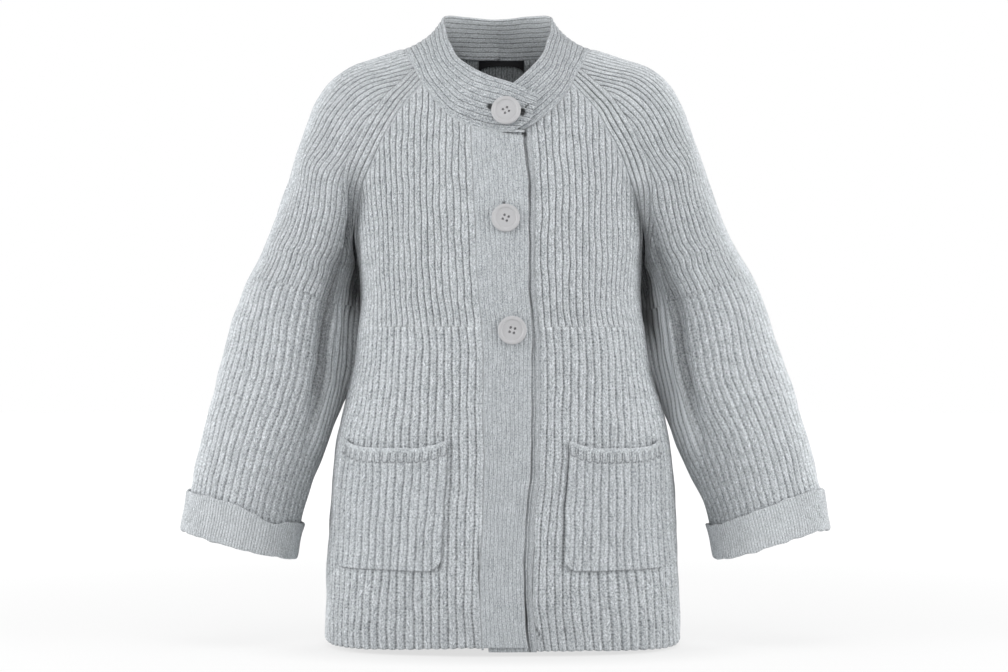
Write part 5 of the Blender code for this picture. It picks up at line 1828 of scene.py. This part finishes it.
def add_room(scene, brightness):
    """A white room: plain white to the camera, and light of this brightness on everything else."""
    world = bpy.data.worlds.new("white_room")
    scene.world = world
    world.use_nodes = True
    tree = world.node_tree
    strength = brightness + seen_by_camera(tree) * (1.0 - brightness)
    feed_all(tree, tree.nodes["Background"], Color=ROOM_WHITE, Strength=strength)


def add_lights(scene, stage):
    """Large square lights that face their targets."""
    for name, (place, target, size, power, share) in LIGHTS.items():
        lamp = bpy.data.lights.new(name, "AREA")
        lamp.shape = "SQUARE"
        lamp.size = size
        lamp.energy = getattr(stage, power) * share
        light = bpy.data.objects.new(name, lamp)
        light.location = place
        light.rotation_euler = (Vector(target) - Vector(place)).to_track_quat("-Z", "Y").to_euler()
        scene.collection.objects.link(light)


def add_camera(scene):
    """A level camera in front."""
    data = bpy.data.cameras.new("camera")
    data.lens = CAMERA_LENS
    data.sensor_width = 36.0
    camera = bpy.data.objects.new("camera", data)
    camera.location = CAMERA_PLACE
    camera.rotation_euler = (math.pi / 2, 0, 0)
    scene.collection.objects.link(camera)
    scene.camera = camera
    scene.view_settings.view_transform = "Standard"


# ---- Operators --------------------------------------------------------------------------------------------


class CARDIGAN_OT_fronts(bpy.types.Operator):
    """Builds the two fronts in chunky rib"""

    bl_idname = "cardigan.fronts"
    bl_label = "Build fronts"

    def execute(self, context):
        cloth = context.scene.cardigan_cloth
        for side, word in WORD.items():
            add_front(side, "front_" + word, wool("marled_wool_knit", cloth), cloth)
        return {"FINISHED"}


class CARDIGAN_OT_back(bpy.types.Operator):
    """Builds the back in chunky rib"""

    bl_idname = "cardigan.back"
    bl_label = "Build back"

    def execute(self, context):
        cloth = context.scene.cardigan_cloth
        add_back("back", wool("marled_wool_knit", cloth), cloth)
        return {"FINISHED"}


class CARDIGAN_OT_sleeves(bpy.types.Operator):
    """Builds the two raglan sleeves and their turned-up cuffs"""

    bl_idname = "cardigan.sleeves"
    bl_label = "Build sleeves and cuffs"

    def execute(self, context):
        cloth = context.scene.cardigan_cloth
        for side, word in WORD.items():
            add_sleeve(side, "sleeve_" + word, wool("marled_wool_knit", cloth), cloth)
            add_cuff(side, "cuff_" + word, wool("cuff_rib_knit", cloth), cloth)
        return {"FINISHED"}


class CARDIGAN_OT_bands(bpy.types.Operator):
    """Builds the two button bands, the collar in fine rib and the seams"""

    bl_idname = "cardigan.bands"
    bl_label = "Build bands and collar"

    def execute(self, context):
        cloth = context.scene.cardigan_cloth
        for side, word in WORD.items():
            add_band(side, "band_" + word, wool("fine_rib_knit", cloth), cloth)
        add_collar("collar", wool("collar_rib_knit", cloth), cloth)
        add_seams("seams_knit", wool("fine_rib_knit", cloth))
        return {"FINISHED"}


class CARDIGAN_OT_pockets(bpy.types.Operator):
    """Builds the two patch pockets"""

    bl_idname = "cardigan.pockets"
    bl_label = "Build pockets"

    def execute(self, context):
        cloth = context.scene.cardigan_cloth
        for side, word in WORD.items():
            add_pocket(side, "pocket_" + word, wool("pocket_rib_knit", cloth), cloth)
        return {"FINISHED"}


class CARDIGAN_OT_trim(bpy.types.Operator):
    """Builds the three buttons and the plain neck label"""

    bl_idname = "cardigan.trim"
    bl_label = "Build buttons and label"

    def execute(self, context):
        trim = context.scene.cardigan_trim
        plastic = material("button_plastic", button_nodes, trim)
        for word, place in zip(("top", "middle", "low"), button_places()):
            add_button("button_" + word, place, plastic, trim)
        add_label("label", material("label_tape", label_nodes, trim))
        return {"FINISHED"}


class CARDIGAN_OT_stage(bpy.types.Operator):
    """Sets up the pale floor, the soft lights and the camera"""

    bl_idname = "cardigan.stage"
    bl_label = "Build stage"

    def execute(self, context):
        scene = context.scene
        stage = scene.cardigan_stage
        add_floor(scene, (HEM - HEM_SIDE_DROP) * MM - stage.floor_drop)
        add_room(scene, stage.sky)
        add_lights(scene, stage)
        add_camera(scene)
        return {"FINISHED"}


class CARDIGAN_PT_panel(bpy.types.Panel):
    """Sizes, colours and build buttons of the cardigan"""

    bl_idname = "CARDIGAN_PT_panel"
    bl_label = "Cardigan"
    bl_space_type = "VIEW_3D"
    bl_region_type = "UI"
    bl_category = "Cardigan"

    def draw(self, context):
        for key, settings in SETTINGS:
            box = self.layout.box()
            values = getattr(context.scene, key)
            for name in settings.__annotations__:
                box.prop(values, name)
        for operator in OPERATORS:
            self.layout.operator(operator.bl_idname)


SETTINGS = (
    ("cardigan_cloth", CardiganCloth),
    ("cardigan_trim", CardiganTrim),
    ("cardigan_stage", CardiganStage),
)
OPERATORS = (
    CARDIGAN_OT_fronts, CARDIGAN_OT_back, CARDIGAN_OT_sleeves, CARDIGAN_OT_bands, CARDIGAN_OT_pockets,
    CARDIGAN_OT_trim, CARDIGAN_OT_stage,
)


def register():
    """Adds the settings to each scene, then the operators and the panel."""
    for key, settings in SETTINGS:
        bpy.utils.register_class(settings)
        setattr(bpy.types.Scene, key, PointerProperty(type=settings))
    for operator in OPERATORS:
        bpy.utils.register_class(operator)
    bpy.utils.register_class(CARDIGAN_PT_panel)


def unregister():
    """Takes away what register adds, in the opposite order."""
    bpy.utils.unregister_class(CARDIGAN_PT_panel)
    for operator in reversed(OPERATORS):
        bpy.utils.unregister_class(operator)
    for key, settings in reversed(SETTINGS):
        delattr(bpy.types.Scene, key)
        bpy.utils.unregister_class(settings)


def main():
    """Registers the settings, operators and panel, then builds everything."""
    register()
    bpy.ops.cardigan.stage()
    bpy.ops.cardigan.fronts()
    bpy.ops.cardigan.back()
    bpy.ops.cardigan.sleeves()
    bpy.ops.cardigan.bands()
    bpy.ops.cardigan.pockets()
    bpy.ops.cardigan.trim()


if __name__ == "__main__":
    main()
